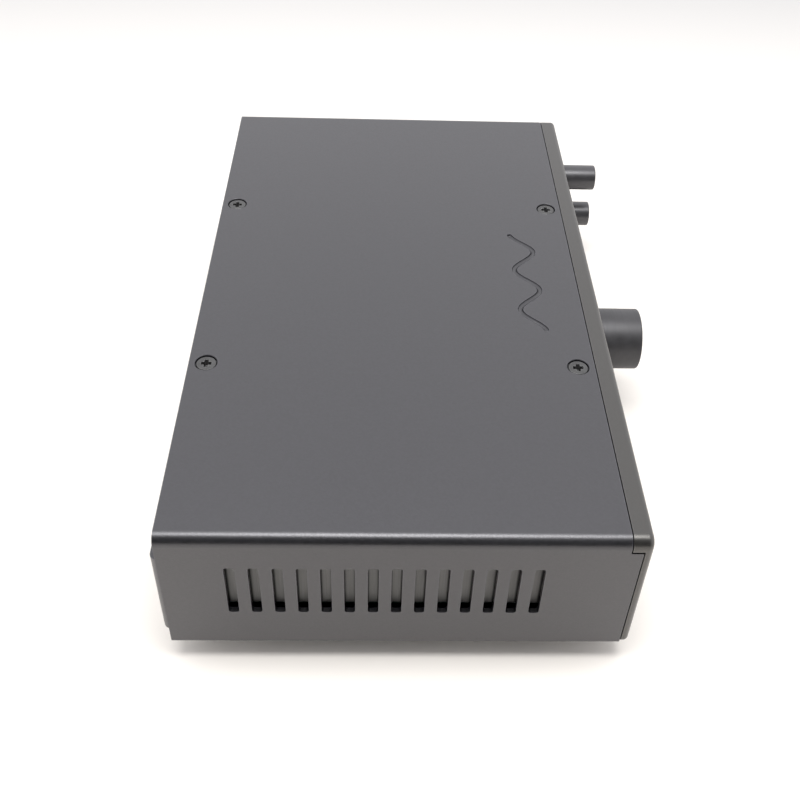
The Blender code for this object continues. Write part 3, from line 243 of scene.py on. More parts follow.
CORNERS = ("front_left", "front_right", "rear_left", "rear_right")
MENU_PLACES = ("upper_left", "lower_left", "upper_right", "lower_right")
ENCODERS = ("volume", "upper", "lower")

# Rings of the cross recess: height above the head's face, and shares of the arm and of its width
CROSS_RINGS = ((OVER, 1.25, 1.6), (0.0, 1.0, 1.25), (-CROSS_DEPTH, 0.5, 0.7))


# Materials


class Nodes:
    """Adds nodes and links to a shader tree."""

    def __init__(self, tree):
        self.tree = tree

    def add(self, kind, inputs=None, **settings):
        """A shader node with its settings, input values and links."""
        made = self.tree.nodes.new("ShaderNode" + kind)
        for key, value in settings.items():
            setattr(made, key, value)
        for key, value in (inputs or {}).items():
            self.put(made.inputs[key], value)
        return made

    def put(self, socket, value):
        """Links a socket to an output, or gives it a value."""
        if isinstance(value, bpy.types.NodeSocket):
            self.tree.links.new(value, socket)
        else:
            socket.default_value = value


class Finish(Nodes):
    """A Principled material with procedural detail in the piece's own coordinates."""

    def __init__(self, name, roughness, metallic=0.0, specular=0.5):
        self.made = bpy.data.materials.new(name)
        self.made.use_nodes = True
        super().__init__(self.made.node_tree)
        self.shader = self.tree.nodes["Principled BSDF"]
        self.shader.inputs["Roughness"].default_value = roughness
        self.shader.inputs["Metallic"].default_value = metallic
        self.shader.inputs["Specular IOR Level"].default_value = specular
        self.place = self.add("TexCoord").outputs["Object"]
        self.normal = None

    def scaled(self, scale):
        """The piece's coordinates times a factor along each axis."""
        factors = {0: self.place, 1: scale}
        return self.add("VectorMath", factors, operation="MULTIPLY").outputs["Vector"]

    def axes(self):
        return self.add("SeparateXYZ", {0: self.place}).outputs

    def noise(self, scale, detail=2.0, place=None):
        inputs = {"Vector": place or self.place, "Scale": scale, "Detail": detail}
        return self.add("TexNoise", inputs).outputs["Fac"]

    def cells(self, scale, output="Distance"):
        inputs = {"Vector": self.place, "Scale": scale}
        return self.add("TexVoronoi", inputs).outputs[output]

    def spread(self, value, low, high, first=0.0, last=1.0):
        """Maps a value from one range to another, and clamps it."""
        inputs = {"Value": value, "From Min": low, "From Max": high, "To Min": first, "To Max": last}
        return self.add("MapRange", inputs).outputs["Result"]

    def vary(self, noise, first=0.0, last=1.0):
        """Maps the middle of a noise to a range."""
        return self.spread(noise, NOISE_LOW, NOISE_HIGH, first, last)

    def maths(self, operation, first, second=0.0):
        return self.add("Math", {0: first, 1: second}, operation=operation).outputs["Value"]

    def blend(self, factor, first, second):
        """A colour between two others."""
        made = self.add("Mix", data_type="RGBA")
        for name, value in (("Factor_Float", factor), ("A_Color", first), ("B_Color", second)):
            socket = next(item for item in made.inputs if item.identifier == name)
            self.put(socket, value)
        return next(item for item in made.outputs if item.identifier == "Result_Color")

    def bump(self, height, distance, strength=1.0):
        """Adds relief of a given depth to what is there already."""
        inputs = {"Height": height, "Distance": distance, "Strength": strength}
        if self.normal:
            inputs["Normal"] = self.normal
        self.normal = self.add("Bump", inputs).outputs["Normal"]

    def edges(self, radius):
        """1 along edges and 0 on open faces."""
        rounded = self.add("Bevel", {"Radius": radius}, samples=4).outputs["Normal"]
        flat = self.add("NewGeometry").outputs["Normal"]
        product = {0: rounded, 1: flat}
        turn = self.add("VectorMath", product, operation="DOT_PRODUCT").outputs["Value"]
        return self.spread(turn, 0.995, 0.86)

    def wear(self, tone, radius, amount, bare):
        """Lets a paler colour through along the edges."""
        return self.blend(self.maths("MULTIPLY", self.edges(radius), amount), tone, bare)

    def done(self, colour, roughness):
        """Connects the colour, the roughness and the relief to the shader."""
        self.put(self.shader.inputs["Base Color"], colour)
        self.put(self.shader.inputs["Roughness"], roughness)
        if self.normal:
            self.put(self.shader.inputs["Normal"], self.normal)
        return self.made


def shade(value, tint=NEUTRAL):
    """A grey of a given lightness with a tint."""
    return (value * tint[0], value * tint[1], value * tint[2], 1.0)


def coat(name, dark, light, gloss, grain, tint, sheen, grain_depth):
    """Black coating with a fine grain, faint clouds, thin edges and a little dust."""
    finish = Finish(name, gloss, 0.0, 1.0)
    finish.shader.inputs["Specular Tint"].default_value = shade(1.0, sheen)
    fine = finish.noise(grain, 3.0)
    speck = finish.cells(grain * 0.8, "Color")
    cloud = finish.noise(14.0, 4.0)
    tone = finish.blend(finish.spread(speck, 0.15, 0.95), shade(dark, tint), shade(light, tint))
    tone = finish.blend(finish.spread(cloud, 0.30, 0.75, 0.0, 0.15), tone, shade(light * 1.1, tint))
    worn = finish.edges(0.0005)
    chipped = finish.maths("MULTIPLY", worn, finish.spread(finish.noise(900.0), 0.35, 0.70, 0.25, 1.0))
    tone = finish.blend(finish.maths("MULTIPLY", chipped, 0.55), tone, shade(0.11, tint))
    tone = finish.blend(dust_specks(finish), tone, shade(0.30))
    rough = finish.maths("ADD", finish.spread(fine, 0.25, 0.75, gloss - 0.05, gloss + 0.07),
                         finish.spread(cloud, 0.30, 0.70, -0.01, 0.015))
    finish.bump(fine, grain_depth)
    finish.bump(finish.noise(grain / 4, 1.0), grain_depth, 0.35)
    return finish.done(tone, rough)


def dust_specks(finish):
    """A few small specks of dust, each in its own cell of a coarse pattern."""
    near = finish.spread(finish.cells(130.0), 0.030, 0.022)
    chosen = finish.spread(finish.cells(130.0, "Color"), 0.93, 0.94)
    return finish.maths("MULTIPLY", finish.maths("MULTIPLY", near, chosen), 0.8)


def cover_coat():
    tint, sheen = (0.95, 0.95, 1.12), (0.965, 0.955, 1.0)
    return coat("cover_coat", 0.006, 0.011, 0.34, 2200.0, tint, sheen, 0.000014)


def panel_coat():
    tint, sheen = (1.03, 1.0, 0.96), (1.0, 0.975, 0.94)
    return coat("panel_coat", 0.008, 0.014, 0.33, 3800.0, tint, sheen, 0.000005)


def plated_steel():
    """Zinc-plated sheet with faint rolling lines and grey clouds."""
    finish = Finish("plated_steel", 0.42, 1.0)
    lines = finish.noise(1.0, 4.0, finish.scaled((60.0, 2600.0, 2600.0)))
    cloud = finish.noise(55.0, 5.0)
    tone = finish.blend(finish.vary(cloud), shade(0.34, (0.97, 0.99, 1.03)), shade(0.47))
    tone = finish.wear(tone, 0.0004, 0.4, shade(0.72))
    uneven = finish.spread(cloud, 0.2, 0.8, -0.05, 0.05)
    rough = finish.maths("ADD", finish.vary(lines, 0.34, 0.50), uneven)
    finish.bump(lines, 0.000010, 0.7)
    return finish.done(tone, rough)


def shield_steel_painted_shade():
    """Dull plate brushed upright, bare behind each vent, with painted shade that turns it almost black
    between the vents.
    """
    finish = Finish("brushed_plate_painted_shade", 0.55, 0.35)
    lines = finish.noise(1.0, 4.0, finish.scaled((2600.0, 2600.0, 50.0)))
    cloud = finish.noise(70.0, 4.0)
    tone = finish.blend(finish.vary(lines), shade(0.20, (1.0, 1.0, 0.98)), shade(0.27))
    across = finish.axes()["Y"]
    row = finish.maths("SUBTRACT", across, FRONT + VENT_FROM_FRONT)
    beside = finish.maths("PINGPONG", row, VENT_PITCH / 2)
    # Painted shade: away from each vent's centre line the plate goes almost black, standing in for the
    # shade behind the cover's lands.
    tone = finish.blend(finish.spread(beside, VENT_WIDTH * 0.34, VENT_WIDTH * 0.50), tone, shade(0.012))
    tone = finish.wear(tone, 0.0004, 0.4, shade(0.55))
    uneven = finish.spread(cloud, 0.2, 0.8, -0.05, 0.05)
    rough = finish.maths("ADD", finish.vary(lines, 0.48, 0.62), uneven)
    finish.bump(lines, 0.000010, 0.6)
    return finish.done(tone, rough)


def turned_finish(name, axis, dark, light, gloss, metallic, groove, depth, worn=0.5, tint=NEUTRAL):
    """Metal with fine marks of turning: rings on its faces and along its sides."""
    finish = Finish(name, gloss, metallic, 0.9)
    parts = finish.axes()
    squares = [finish.maths("MULTIPLY", part, part) for part in parts if part.name != axis]
    radius = finish.maths("SQRT", finish.maths("ADD", *squares))
    spun = finish.add("CombineXYZ", {0: radius, 1: parts[axis]}).outputs[0]
    rings = finish.noise(groove, 3.0, spun)
    soft = finish.noise(260.0, 3.0)
    tone = finish.blend(finish.vary(soft), shade(dark, tint), shade(light, tint))
    tone = finish.wear(tone, 0.0004, worn, shade(light * 3 + 0.03))
    ringed = finish.vary(rings, gloss - 0.06, gloss + 0.06)
    rough = finish.maths("ADD", ringed, finish.vary(soft, -0.02, 0.02))
    finish.bump(rings, depth)
    finish.bump(finish.noise(5200.0, 2.0), depth, 0.6)
    return finish.done(tone, rough)


def knob_finish(name, dark, light, gloss):
    tint = (0.98, 0.965, 1.04)
    return turned_finish(name, "Y", dark, light, gloss, 0.5, 5200.0, 0.000004, 0.5, tint)


def screw_finish():
    return turned_finish("screw_black_oxide", "Z", 0.060, 0.090, 0.30, 0.75, 3600.0, 0.000008)


def nickel():
    return turned_finish("nickel_y", "Y", 0.62, 0.72, 0.20, 1.0, 3600.0, 0.000004, 0.2)


def gold():
    """Gold-plated contact with fine drawing marks."""
    finish = Finish("gold_contact", 0.22, 1.0)
    lines = finish.noise(1.0, 3.0, finish.scaled((3800.0, 300.0, 3800.0)))
    tone = finish.blend(finish.vary(lines), (0.72, 0.47, 0.16, 1.0), (0.85, 0.62, 0.27, 1.0))
    finish.bump(lines, 0.000004, 0.6)
    return finish.done(tone, finish.vary(lines, 0.16, 0.30))


def plastic(name, colour, gloss, grain=1500.0, depth=0.000008):
    """Moulded plastic with a fine spark texture, flow clouds and paler edges."""
    finish = Finish(name, gloss)
    fine = finish.noise(grain, 3.0)
    cloud = finish.noise(70.0, 3.0)
    dark = tuple(channel * 0.82 for channel in colour) + (1.0,)
    light = tuple(min(channel * 1.18 + 0.002, 1.0) for channel in colour) + (1.0,)
    pale = tuple(channel * 0.7 + 0.10 for channel in colour) + (1.0,)
    tone = finish.blend(finish.vary(cloud), dark, light)
    tone = finish.wear(tone, 0.0003, 0.3, pale)
    finish.bump(fine, depth)
    return finish.done(tone, finish.vary(fine, gloss - 0.05, gloss + 0.08))


def rubber():
    """Moulded rubber with a dusty bloom and a soft grain."""
    finish = Finish("foot_rubber", 0.8, 0.0, 0.35)
    bloom = finish.noise(160.0, 5.0)
    fine = finish.noise(2600.0, 3.0)
    tone = finish.blend(finish.spread(bloom, 0.35, 0.75), shade(0.014), shade(0.032, (1.03, 1.0, 0.96)))
    tone = finish.wear(tone, 0.0007, 0.35, shade(0.07))
    finish.bump(fine, 0.00002, 0.8)
    return finish.done(tone, finish.vary(bloom, 0.68, 0.88))


def circuit_board():
    """Green solder mask over copper tracks, with small tinned pads."""
    finish = Finish("circuit_board", 0.30)
    inputs = {"Vector": finish.place, "Scale": 240.0}
    square = finish.add("TexVoronoi", inputs, distance="MANHATTAN")
    track = finish.spread(square.outputs["Distance"], 0.40, 0.46)
    weave = finish.noise(2400.0, 2.0)
    pad = finish.spread(finish.cells(420.0), 0.13, 0.11)
    chosen = finish.spread(finish.cells(420.0, "Color"), 0.60, 0.62)
    pad = finish.maths("MULTIPLY", pad, chosen)
    deep, fresh = (0.006, 0.055, 0.026, 1.0), (0.010, 0.075, 0.036, 1.0)
    mask = finish.blend(finish.vary(weave), deep, fresh)
    tone = finish.blend(track, mask, (0.020, 0.130, 0.055, 1.0))
    tone = finish.blend(pad, tone, shade(0.62))
    finish.bump(track, 0.00003, 0.8)
    finish.put(finish.shader.inputs["Metallic"], pad)
    return finish.done(tone, finish.vary(weave, 0.24, 0.36))


def ribbon():
    """Flat cable: grey insulation ribbed over its conductors, the first one red."""
    finish = Finish("ribbon_cable_grey", 0.45)
    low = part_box("ribbon_cable")[0]
    across = finish.axes()["X"]
    ridge = finish.maths("SINE", finish.maths("MULTIPLY", across, 2 * math.pi / RIBBON_PITCH))
    edge = low.x + RIBBON_PITCH
    first = finish.spread(across, edge, edge - RIBBON_BLUR)
    fine = finish.noise(900.0, 3.0)
    grey = finish.blend(finish.vary(fine), shade(0.30), shade(0.38))
    tone = finish.blend(first, grey, (0.32, 0.03, 0.03, 1.0))
    finish.bump(ridge, 0.00018)
    return finish.done(tone, finish.vary(fine, 0.38, 0.54))


def dark_glass():
    """Dark window whose printed border is a little blacker than the display behind it."""
    finish = Finish("display_glass", 0.07, 0.0, 0.3)
    low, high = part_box("display_window")
    parts = finish.axes()
    centre = (low + high) / 2
    reach = (high - low) / 2
    off = []
    for axis, border in DISPLAY_BORDER.items():
        index = "XYZ".index(axis)
        distance = finish.maths("ABSOLUTE", finish.maths("SUBTRACT", parts[axis], centre[index]))
        start = reach[index] - border
        off.append(finish.spread(distance, start, start + DISPLAY_BORDER_BLUR))
    rim = finish.maths("MAXIMUM", off[0], off[1])
    smear = finish.noise(90.0, 5.0)
    clean, smeared = (0.0105, 0.0115, 0.0140, 1.0), (0.0125, 0.0135, 0.0160, 1.0)
    tone = finish.blend(finish.vary(smear), clean, smeared)
    tone = finish.blend(rim, tone, shade(0.003))
    finish.shader.inputs["Coat Weight"].default_value = 0.25
    finish.shader.inputs["Coat Roughness"].default_value = 0.03
    finish.bump(finish.noise(140.0, 1.0), 0.00002, 0.3)
    return finish.done(tone, finish.spread(smear, 0.35, 0.75, 0.05, 0.16))


def floor_finish():
    """Plain pale table with a faint unevenness, and painted shade that makes it a little darker far
    away.
    """
    finish = Finish("pale_floor", 0.6, 0.0, 0.2)
    cloud = finish.noise(3.0, 2.0)
    dull, clear = (0.87, 0.835, 0.790, 1.0), (0.88, 0.845, 0.800, 1.0)
    tone = finish.blend(finish.vary(cloud), dull, clear)
    away = finish.axes()["X"]
    # Painted shade: the floor darkens towards +X, standing in for the light falling off with distance
    # from the softbox.
    tone = finish.blend(finish.spread(away, 0.05, 0.45), tone, shade(0.50))
    return finish.done(tone, finish.vary(cloud, 0.58, 0.66))


# Outlines and solids


def arc(centre, radius, start, end, steps):
    """Points on an arc, from the start angle to the end angle in degrees."""
    points = []
    for step in range(steps + 1):
        angle = math.radians(start + (end - start) * step / steps)
        points.append((centre[0] + radius * math.cos(angle), centre[1] + radius * math.sin(angle)))
    return points


def rectangle(low, high):
    return [(low[0], low[1]), (high[0], low[1]), (high[0], high[1]), (low[0], high[1])]


def rounded(low, high, bottom_radius, top_radius, steps=BEND_STEPS):
    """A rectangle with one radius for its bottom corners and another for its top corners."""
    foot, head = bottom_radius, top_radius
    return (
        arc((low[0] + foot, low[1] + foot), foot, 180, 270, steps)
        + arc((high[0] - foot, low[1] + foot), foot, 270, 360, steps)
        + arc((high[0] - head, high[1] - head), head, 0, 90, steps)
        + arc((low[0] + head, high[1] - head), head, 90, 180, steps)
    )


def channel(half_width, low, high, wall, radius, steps=BEND_STEPS):
    """A sheet folded down at both sides, open at the bottom."""
    right = (half_width - radius, high - radius)
    left = (radius - half_width, high - radius)
    outer = arc(left, radius, 180, 90, steps) + arc(right, radius, 90, 0, steps)
    inner = arc(right, radius - wall, 0, 90, steps) + arc(left, radius - wall, 90, 180, steps)
    ends = [(half_width, low), (half_width - wall, low)]
    return [(-half_width, low)] + outer + ends + inner + [(wall - half_width, low)]


def cross(arm, width):
    """The outline of a cross recess round the origin."""
    reach, half = arm / 2, width / 2
    points = []
    for cosine, sine in ((1, 0), (0, 1), (-1, 0), (0, -1)):
        for u, v in ((reach, -half), (reach, half), (half, half)):
            points.append((cosine * u - sine * v, sine * u + cosine * v))
    return points


def place(axis, u, v, along):
    """The point at (u, v) across an axis and at a distance along it."""
    return {"X": (along, u, v), "Y": (u, along, v), "Z": (u, v, along)}[axis]


def add_rings(bm, rings, closed=False):
    """Faces between rings of points. A ring of one point is a pole, and open ends are capped."""
    rows = [[bm.verts.new(point) for point in ring] for ring in rings]
    pairs = list(zip(rows, rows[1:] + rows[:1] if closed else rows[1:]))
    for row, after in pairs:
        count = max(len(row), len(after))
        for index in range(count):
            turn = (index + 1) % count
            near = [row[index % len(row)], row[turn % len(row)]]
            far = [after[turn % len(after)], after[index % len(after)]]
            bm.faces.new(list(dict.fromkeys(near + far)))
    if not closed:
        for row in (rows[0], rows[-1]):
            if len(row) > 2:
                bm.faces.new(row)


def add_prism(bm, outline, axis, start, end):
    add_rings(bm, [[place(axis, u, v, along) for u, v in outline] for along in (start, end)])


def add_box(bm, low, high):
    add_prism(bm, rectangle(low[:2], high[:2]), "Z", low[2], high[2])


def add_turned(bm, axis, centre, profile, segments=ROUND):
    """A turned solid round an axis through (u, v). A profile that leaves the axis is a closed ring."""
    rings = []
    for radius, along in profile:
        ring = []
        for step in range(segments if radius else 1):
            angle = 2 * math.pi * step / segments
            u, v = centre[0] + radius * math.cos(angle), centre[1] + radius * math.sin(angle)
            ring.append(place(axis, u, v, along))
        rings.append(ring)
    add_rings(bm, rings, closed=profile[0][0] > 0)


def add_rod(bm, axis, centre, radius, start, end, segments=ROUND):
    add_turned(bm, axis, centre, [(0, start), (radius, start), (radius, end), (0, end)], segments)


def rounded_profile(points, radius, steps=5):
    """A turned profile whose corners inside the list are rounded."""
    made = [points[0]]
    for before, corner, after in zip(points, points[1:], points[2:]):
        here = Vector(corner)
        back, ahead = Vector(before) - here, Vector(after) - here
        reach = min(radius, back.length * 0.49, ahead.length * 0.49)
        start, end = here + back.normalized() * reach, here + ahead.normalized() * reach
        for step in range(steps + 1):
            t = step / steps
            made.append(tuple(start * (1 - t) ** 2 + here * 2 * t * (1 - t) + end * t ** 2))
    return made + [points[-1]]


# Objects


def linked(name, data):
    """An object in the scene, with its data."""
    made = bpy.data.objects.new(name, data)
    bpy.context.scene.collection.objects.link(made)
    return made


def bare_object(name, bm, origin=(0.0, 0.0, 0.0)):
    """An object from a bmesh in world coordinates, with its own origin."""
    bmesh.ops.recalc_face_normals(bm, faces=bm.faces)
    bmesh.ops.translate(bm, verts=bm.verts, vec=-Vector(origin))
    mesh = bpy.data.meshes.new(name)
    bm.to_mesh(mesh)
    bm.free()
    made = linked(name, mesh)
    made.location = origin
    return made


def piece(name, bm, finish, nodes=(), origin=(0.0, 0.0, 0.0), body="chassis"):
    """A visible piece that rides on a body and stands for CAD nodes."""
    made = bare_object(name, bm, origin)
    made.data.materials.append(finish)
    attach(made, body)
    if nodes:
        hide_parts(*nodes)
    return made


def shape(target, bm, operation="DIFFERENCE"):
    """Cuts a shape from a piece or joins one to it, and keeps the result as the piece's own mesh."""
    tool = bare_object("tool", bm)
    boolean = target.modifiers.new("shape", "BOOLEAN")
    boolean.operation = operation
    boolean.object = tool
    graph = bpy.context.evaluated_depsgraph_get()
    shaped = bpy.data.meshes.new_from_object(target.evaluated_get(graph))
    target.modifiers.remove(boolean)
    target.data = shaped
    bpy.data.objects.remove(tool)


def soften(target, width, angle=32.0, segments=3):
    """Rounds the piece's edges and keeps its flat faces flat."""
    target.data.shade_smooth()
    bevel = target.modifiers.new("edges", "BEVEL")
    bevel.width = width
    bevel.segments = segments
    bevel.limit_method = "ANGLE"
    bevel.angle_limit = math.radians(angle)
    bevel.miter_outer = "MITER_ARC"
    weighted = target.modifiers.new("flat_faces", "WEIGHTED_NORMAL")
    weighted.keep_sharp = True


def smooth(target, angle=40.0):
    target.data.shade_smooth()
    target.data.set_sharp_from_angle(angle=math.radians(angle))


# Casing


def cover_sheet():
    """Folded cover with tabs, vents, countersinks and the wave groove."""
    bm = bmesh.new()
    add_prism(bm, channel(SIDE, COVER_LOW.z, TOP, WALL, BEND), "Y", COVER_FRONT, BACK)
    cover = piece("cover_sheet", bm, cover_coat(), ["top_cover"])

    tabs = bmesh.new()
    for side in (-1, 1):
        inner, outer = sorted((side * (SIDE - WALL), side * SIDE))
        low = (inner, PLATE_BACK + SEAM, COVER_LOW.z)
        add_box(tabs, low, (outer, COVER_FRONT + OVER, TOP - PANEL_WRAP - RELIEF))
        add_prism(tabs, rear_tab(side), "Z", BASE + TAB_LOW, BASE + TAB_HIGH)
    shape(cover, tabs, "UNION")

    holes = bmesh.new()
    for centre in vent_places():
        add_prism(holes, vent_outline(centre), "X", -SIDE - OVER, SIDE + OVER)
    for corner in CORNERS:
        add_turned(holes, "Z", screw_place(corner), sink_profile())
    add_wave(holes)
    shape(cover, holes)
    soften(cover, SHEET_EDGE)


def rear_tab(side):
    """Outline of a rear tab: a leg along the side wall, an outer bend and the tab itself."""
    bend = arc((SIDE - TAB_BEND, TAB_BACK - TAB_BEND), TAB_BEND, 0, 90, BEND_STEPS)
    inner = (SIDE - WALL, TAB_BACK - WALL)
    leg = TAB_BACK - TAB_LEG
    tip = SIDE - TAB_LENGTH
    points = [(inner[0], leg), (SIDE, leg)] + bend + [(tip, TAB_BACK), (tip, inner[1]), inner]
    return [(side * x, y) for x, y in points]


def vent_places():
    """Centres (y, z) of the vents in one side."""
    room = BACK - FRONT - VENT_FROM_FRONT - VENT_FROM_BACK
    count = int(room / VENT_PITCH + 1e-4) + 1
    height = BASE + VENT_LOW + VENT_LENGTH / 2
    return [(FRONT + VENT_FROM_FRONT + VENT_PITCH * index, height) for index in range(count)]


def vent_outline(centre):
    across, up = VENT_WIDTH / 2, VENT_LENGTH / 2
    low = (centre[0] - across, centre[1] - up)
    high = (centre[0] + across, centre[1] + up)
    return rounded(low, high, VENT_CORNER, VENT_CORNER, 6)


def centre_of(node):
    low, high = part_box(node)
    return (low + high) / 2


def screw_place(corner):
    low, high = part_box("cover_screw_" + corner)
    return (low.x + high.x) / 2, (low.y + high.y) / 2


def sink_profile():
    """Countersink with a straight mouth, which leaves a dark ring round the screw's head."""
    mouth = SINK_WIDTH / 2
    straight = mouth - SINK_LAND
    throat = mouth - WALL
    under = TOP - WALL
    cone = [(0, under - OVER), (throat, under - OVER), (throat, under), (straight, TOP - SINK_STRAIGHT)]
    return cone + [(straight, TOP - SINK_LAND), (mouth, TOP), (mouth, TOP + OVER), (0, TOP + OVER)]


def add_wave(bm, steps=150, sides=20):
    """A tube along a sine curve that leaves a round-bottomed groove in the top."""
    radius = (WAVE_WIDTH ** 2 / 4 + WAVE_DEPTH ** 2) / (2 * WAVE_DEPTH)
    level = TOP + radius - WAVE_DEPTH
    rate = WAVE_TURNS * 2 * math.pi / WAVE_LENGTH
    middle = FRONT + WAVE_FROM_FRONT
    rings = []
    for step in range(steps + 1):
        x = WAVE_LENGTH * (step / steps - 0.5)
        slope = WAVE_SWING * rate * math.cos(rate * x)
        across = Vector((-slope, 1.0, 0.0)).normalized()
        from_end = min(WAVE_LENGTH / 2 - abs(x), WAVE_WIDTH / 2) / (WAVE_WIDTH / 2)
        size = radius - WAVE_DEPTH * (1 - math.sqrt(1 - (1 - from_end) ** 2))
        centre = Vector((x, middle + WAVE_SWING * math.sin(rate * x), level))
        ring = []
        for side in range(sides):
            angle = 2 * math.pi * (side + 0.5) / sides
            rise = Vector((0, 0, size * math.sin(angle)))
            ring.append(centre + across * size * math.cos(angle) + rise)
        rings.append(ring)
    add_rings(bm, rings)


def front_plate():
    """Front panel with rounded front edges, a wrapped flange and holes for the controls."""
    rings = []
    for step in range(PANEL_EDGE_STEPS + 1):
        angle = math.pi / 2 * step / PANEL_EDGE_STEPS
        rings.append((PANEL_EDGE * (1 - math.sin(angle)), FRONT + PANEL_EDGE * (1 - math.cos(angle))))
    rings.append((0.0, PANEL_BACK))
    bm = bmesh.new()
    add_rings(bm, [[(u, along, v) for u, v in panel_outline(inset)] for inset, along in rings])
    panel = piece("front_plate", bm, panel_coat(), ["front_panel"])

    behind = PANEL_BACK + OVER
    hollow = bmesh.new()
    add_prism(hollow, panel_outline(PANEL_FLANGE), "Y", PLATE_BACK, behind)
    shape(panel, hollow)
    sides = bmesh.new()
    for side in (-1, 1):
        near, far = sorted((side * INNER_SIDE, side * (SIDE + OVER)))
        add_box(sides, (near, PLATE_BACK, BASE - OVER), (far, behind, TOP - PANEL_WRAP))
    shape(panel, sides)

    holes = bmesh.new()
    through = (FRONT - OVER, PLATE_BACK + OVER)
    for centre, width in control_holes():
        add_rod(holes, "Y", centre, width / 2 + HOLE_CLEAR, *through)
    add_prism(holes, display_outline(HOLE_CLEAR), "Y", *through)
    shape(panel, holes)
    soften(panel, PANEL_HOLE_EDGE)


def panel_outline(inset):
    """The front panel's outline, moved in from its edge."""
    low, high = (-SIDE + inset, BASE + inset), (SIDE - inset, TOP - inset)
    return rounded(low, high, PANEL_FOOT_CORNER - inset, BEND - inset)


def display_outline(grow):
    """The display window's outline, moved out from its edge."""
    low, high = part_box("display_window")
    lip, corner = DISPLAY_LIP - grow, DISPLAY_CORNER + grow
    return rounded((low.x + lip, low.z + lip), (high.x - lip, high.z - lip), corner, corner, 8)


def control_holes():
    """Centre (x, z) and width of each round piece that comes through the front panel."""
    widths = {"volume_shaft": VOLUME_BUSH, "upper_shaft": SMALL_BUSH, "lower_shaft": SMALL_BUSH}
    widths["power_button"] = POWER_CAP
    for where in MENU_PLACES:
        widths["menu_button_" + where] = MENU_CAP
    found = [(tuple(centre_of(node).xz), width) for node, width in widths.items()]
    found.append(((centre_of("headphone_nut").x, MIDDLE), HEADPHONE_NOSE))
    found.append(((centre_of("earphone_jack").x, EARPHONE_Z), EARPHONE_NOSE))
    return found


# Screws, feet and knobs


def cover_screw(corner):
    """Countersunk screw with a cross recess that narrows downwards."""
    name = "cover_screw_" + corner
    low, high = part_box(name)
    centre, face = screw_place(corner), high.z - HEAD_SUNK
    head, thread = (high.x - low.x) / 2, THREAD / 2
    land = face - HEAD_RIM
    profile = [(0, face), (head - HEAD_RIM, face), (head, land), (thread, land - head + thread)]
    profile += [(thread, low.z), (0, low.z)]
    bm = bmesh.new()
    add_turned(bm, "Z", centre, profile)
    screw = piece("screw_" + corner, bm, screw_finish(), [name], (*centre, face))
    recess = bmesh.new()
    rings = []
    for rise, reach, wide in CROSS_RINGS:
        outline = cross(CROSS_ARM * reach, CROSS_WIDTH * wide)
        rings.append([(centre[0] + u, centre[1] + v, face + rise) for u, v in outline])
    add_rings(recess, rings)
    shape(screw, recess)
    soften(screw, HAIR)


def rubber_foot(corner):
    """Tapered foot with a rounded rim, a shallow ring in its sole and its barbed stem."""
    name = "foot_" + corner
    low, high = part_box(name)
    centre = tuple(centre_of(name).xy)
    wide = (high.x - low.x) / 2
    sole = wide - FOOT_TAPER
    shoulder = BASE - SEAM
    above = high.z - OVER
    inner, outer = sole * FOOT_RING[0], sole * FOOT_RING[1]
    profile = [(0, FOOT_RING_DEPTH), (inner, FOOT_RING_DEPTH), (outer, 0.0), (sole, 0.0)]
    profile += [(wide, shoulder), (FOOT_STEM / 2, shoulder), (FOOT_STEM / 2, above)]
    profile += [(FOOT_BARB / 2, above), (FOOT_STEM / 2, high.z), (0, high.z)]
    bm = bmesh.new()
    add_turned(bm, "Z", centre, rounded_profile(profile, FOOT_EDGE))
    origin = (*centre, 0.0)
    smooth(piece("rubber_foot_" + corner, bm, rubber(), [name], origin))


def knob(name, bore, finish):
    """Turned knob with a fine rounded rim, hollow behind."""
    low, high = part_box(name + "_knob")
    centre = tuple(centre_of(name + "_knob").xz)
    radius, face, back = (high.x - low.x) / 2, low.y, high.y
    skirt, inside, cavity = radius - KNOB_SKIRT_WALL, back - KNOB_SKIRT_DEPTH, face + KNOB_FACE
    outside = [(0, face), (radius, face), (radius, back), (skirt, back)]
    profile = rounded_profile(outside, KNOB_EDGE, 8)
    hollow = [(skirt, inside + OVER), (skirt, inside), (bore, inside), (bore, cavity), (0, cavity)]
    profile += rounded_profile(hollow, FINE_EDGE, 3)
    bm = bmesh.new()
    add_turned(bm, "Y", centre, profile, FINE_ROUND)
    origin = (centre[0], FRONT, centre[1])
    nodes = [name + "_knob"]
    smooth(piece(name + "_knob_body", bm, finish, nodes, origin, name + "_turn"), 30.0)


# Front controls


def button(node, body, dish):
    """Round button with a soft rim and a shallow dish, its collar and its stem."""
    low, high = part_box(node)
    centre = tuple(centre_of(node).xz)
    collar_wide = (high.x - low.x) / 2
    cap, collar = collar_wide - BUTTON_FLANGE, PLATE_BACK + SEAM
    face, back = low.y, collar + BUTTON_FLANGE
    bowl = [(0, face + dish)]
    for step in range(1, DISH_STEPS + 1):
        part = step / DISH_STEPS
        bowl.append(((cap - BUTTON_RIM) * part, face + dish * (1 - part ** 2)))
    rest = [(cap, face), (cap, collar), (collar_wide, collar), (collar_wide, back), (STEM / 2, back)]
    rest += [(STEM / 2, high.y), (0, high.y)]
    profile = bowl[:-1] + rounded_profile([bowl[-1]] + rest, BUTTON_EDGE, 6)
    bm = bmesh.new()
    add_turned(bm, "Y", centre, profile)
    finish = plastic("button_plastic", (0.026, 0.0255, 0.025), 0.40, 2600.0, 0.000004)
    origin = (centre[0], FRONT, centre[1])
    smooth(piece(node + "_cap", bm, finish, [node], origin, body), 35.0)


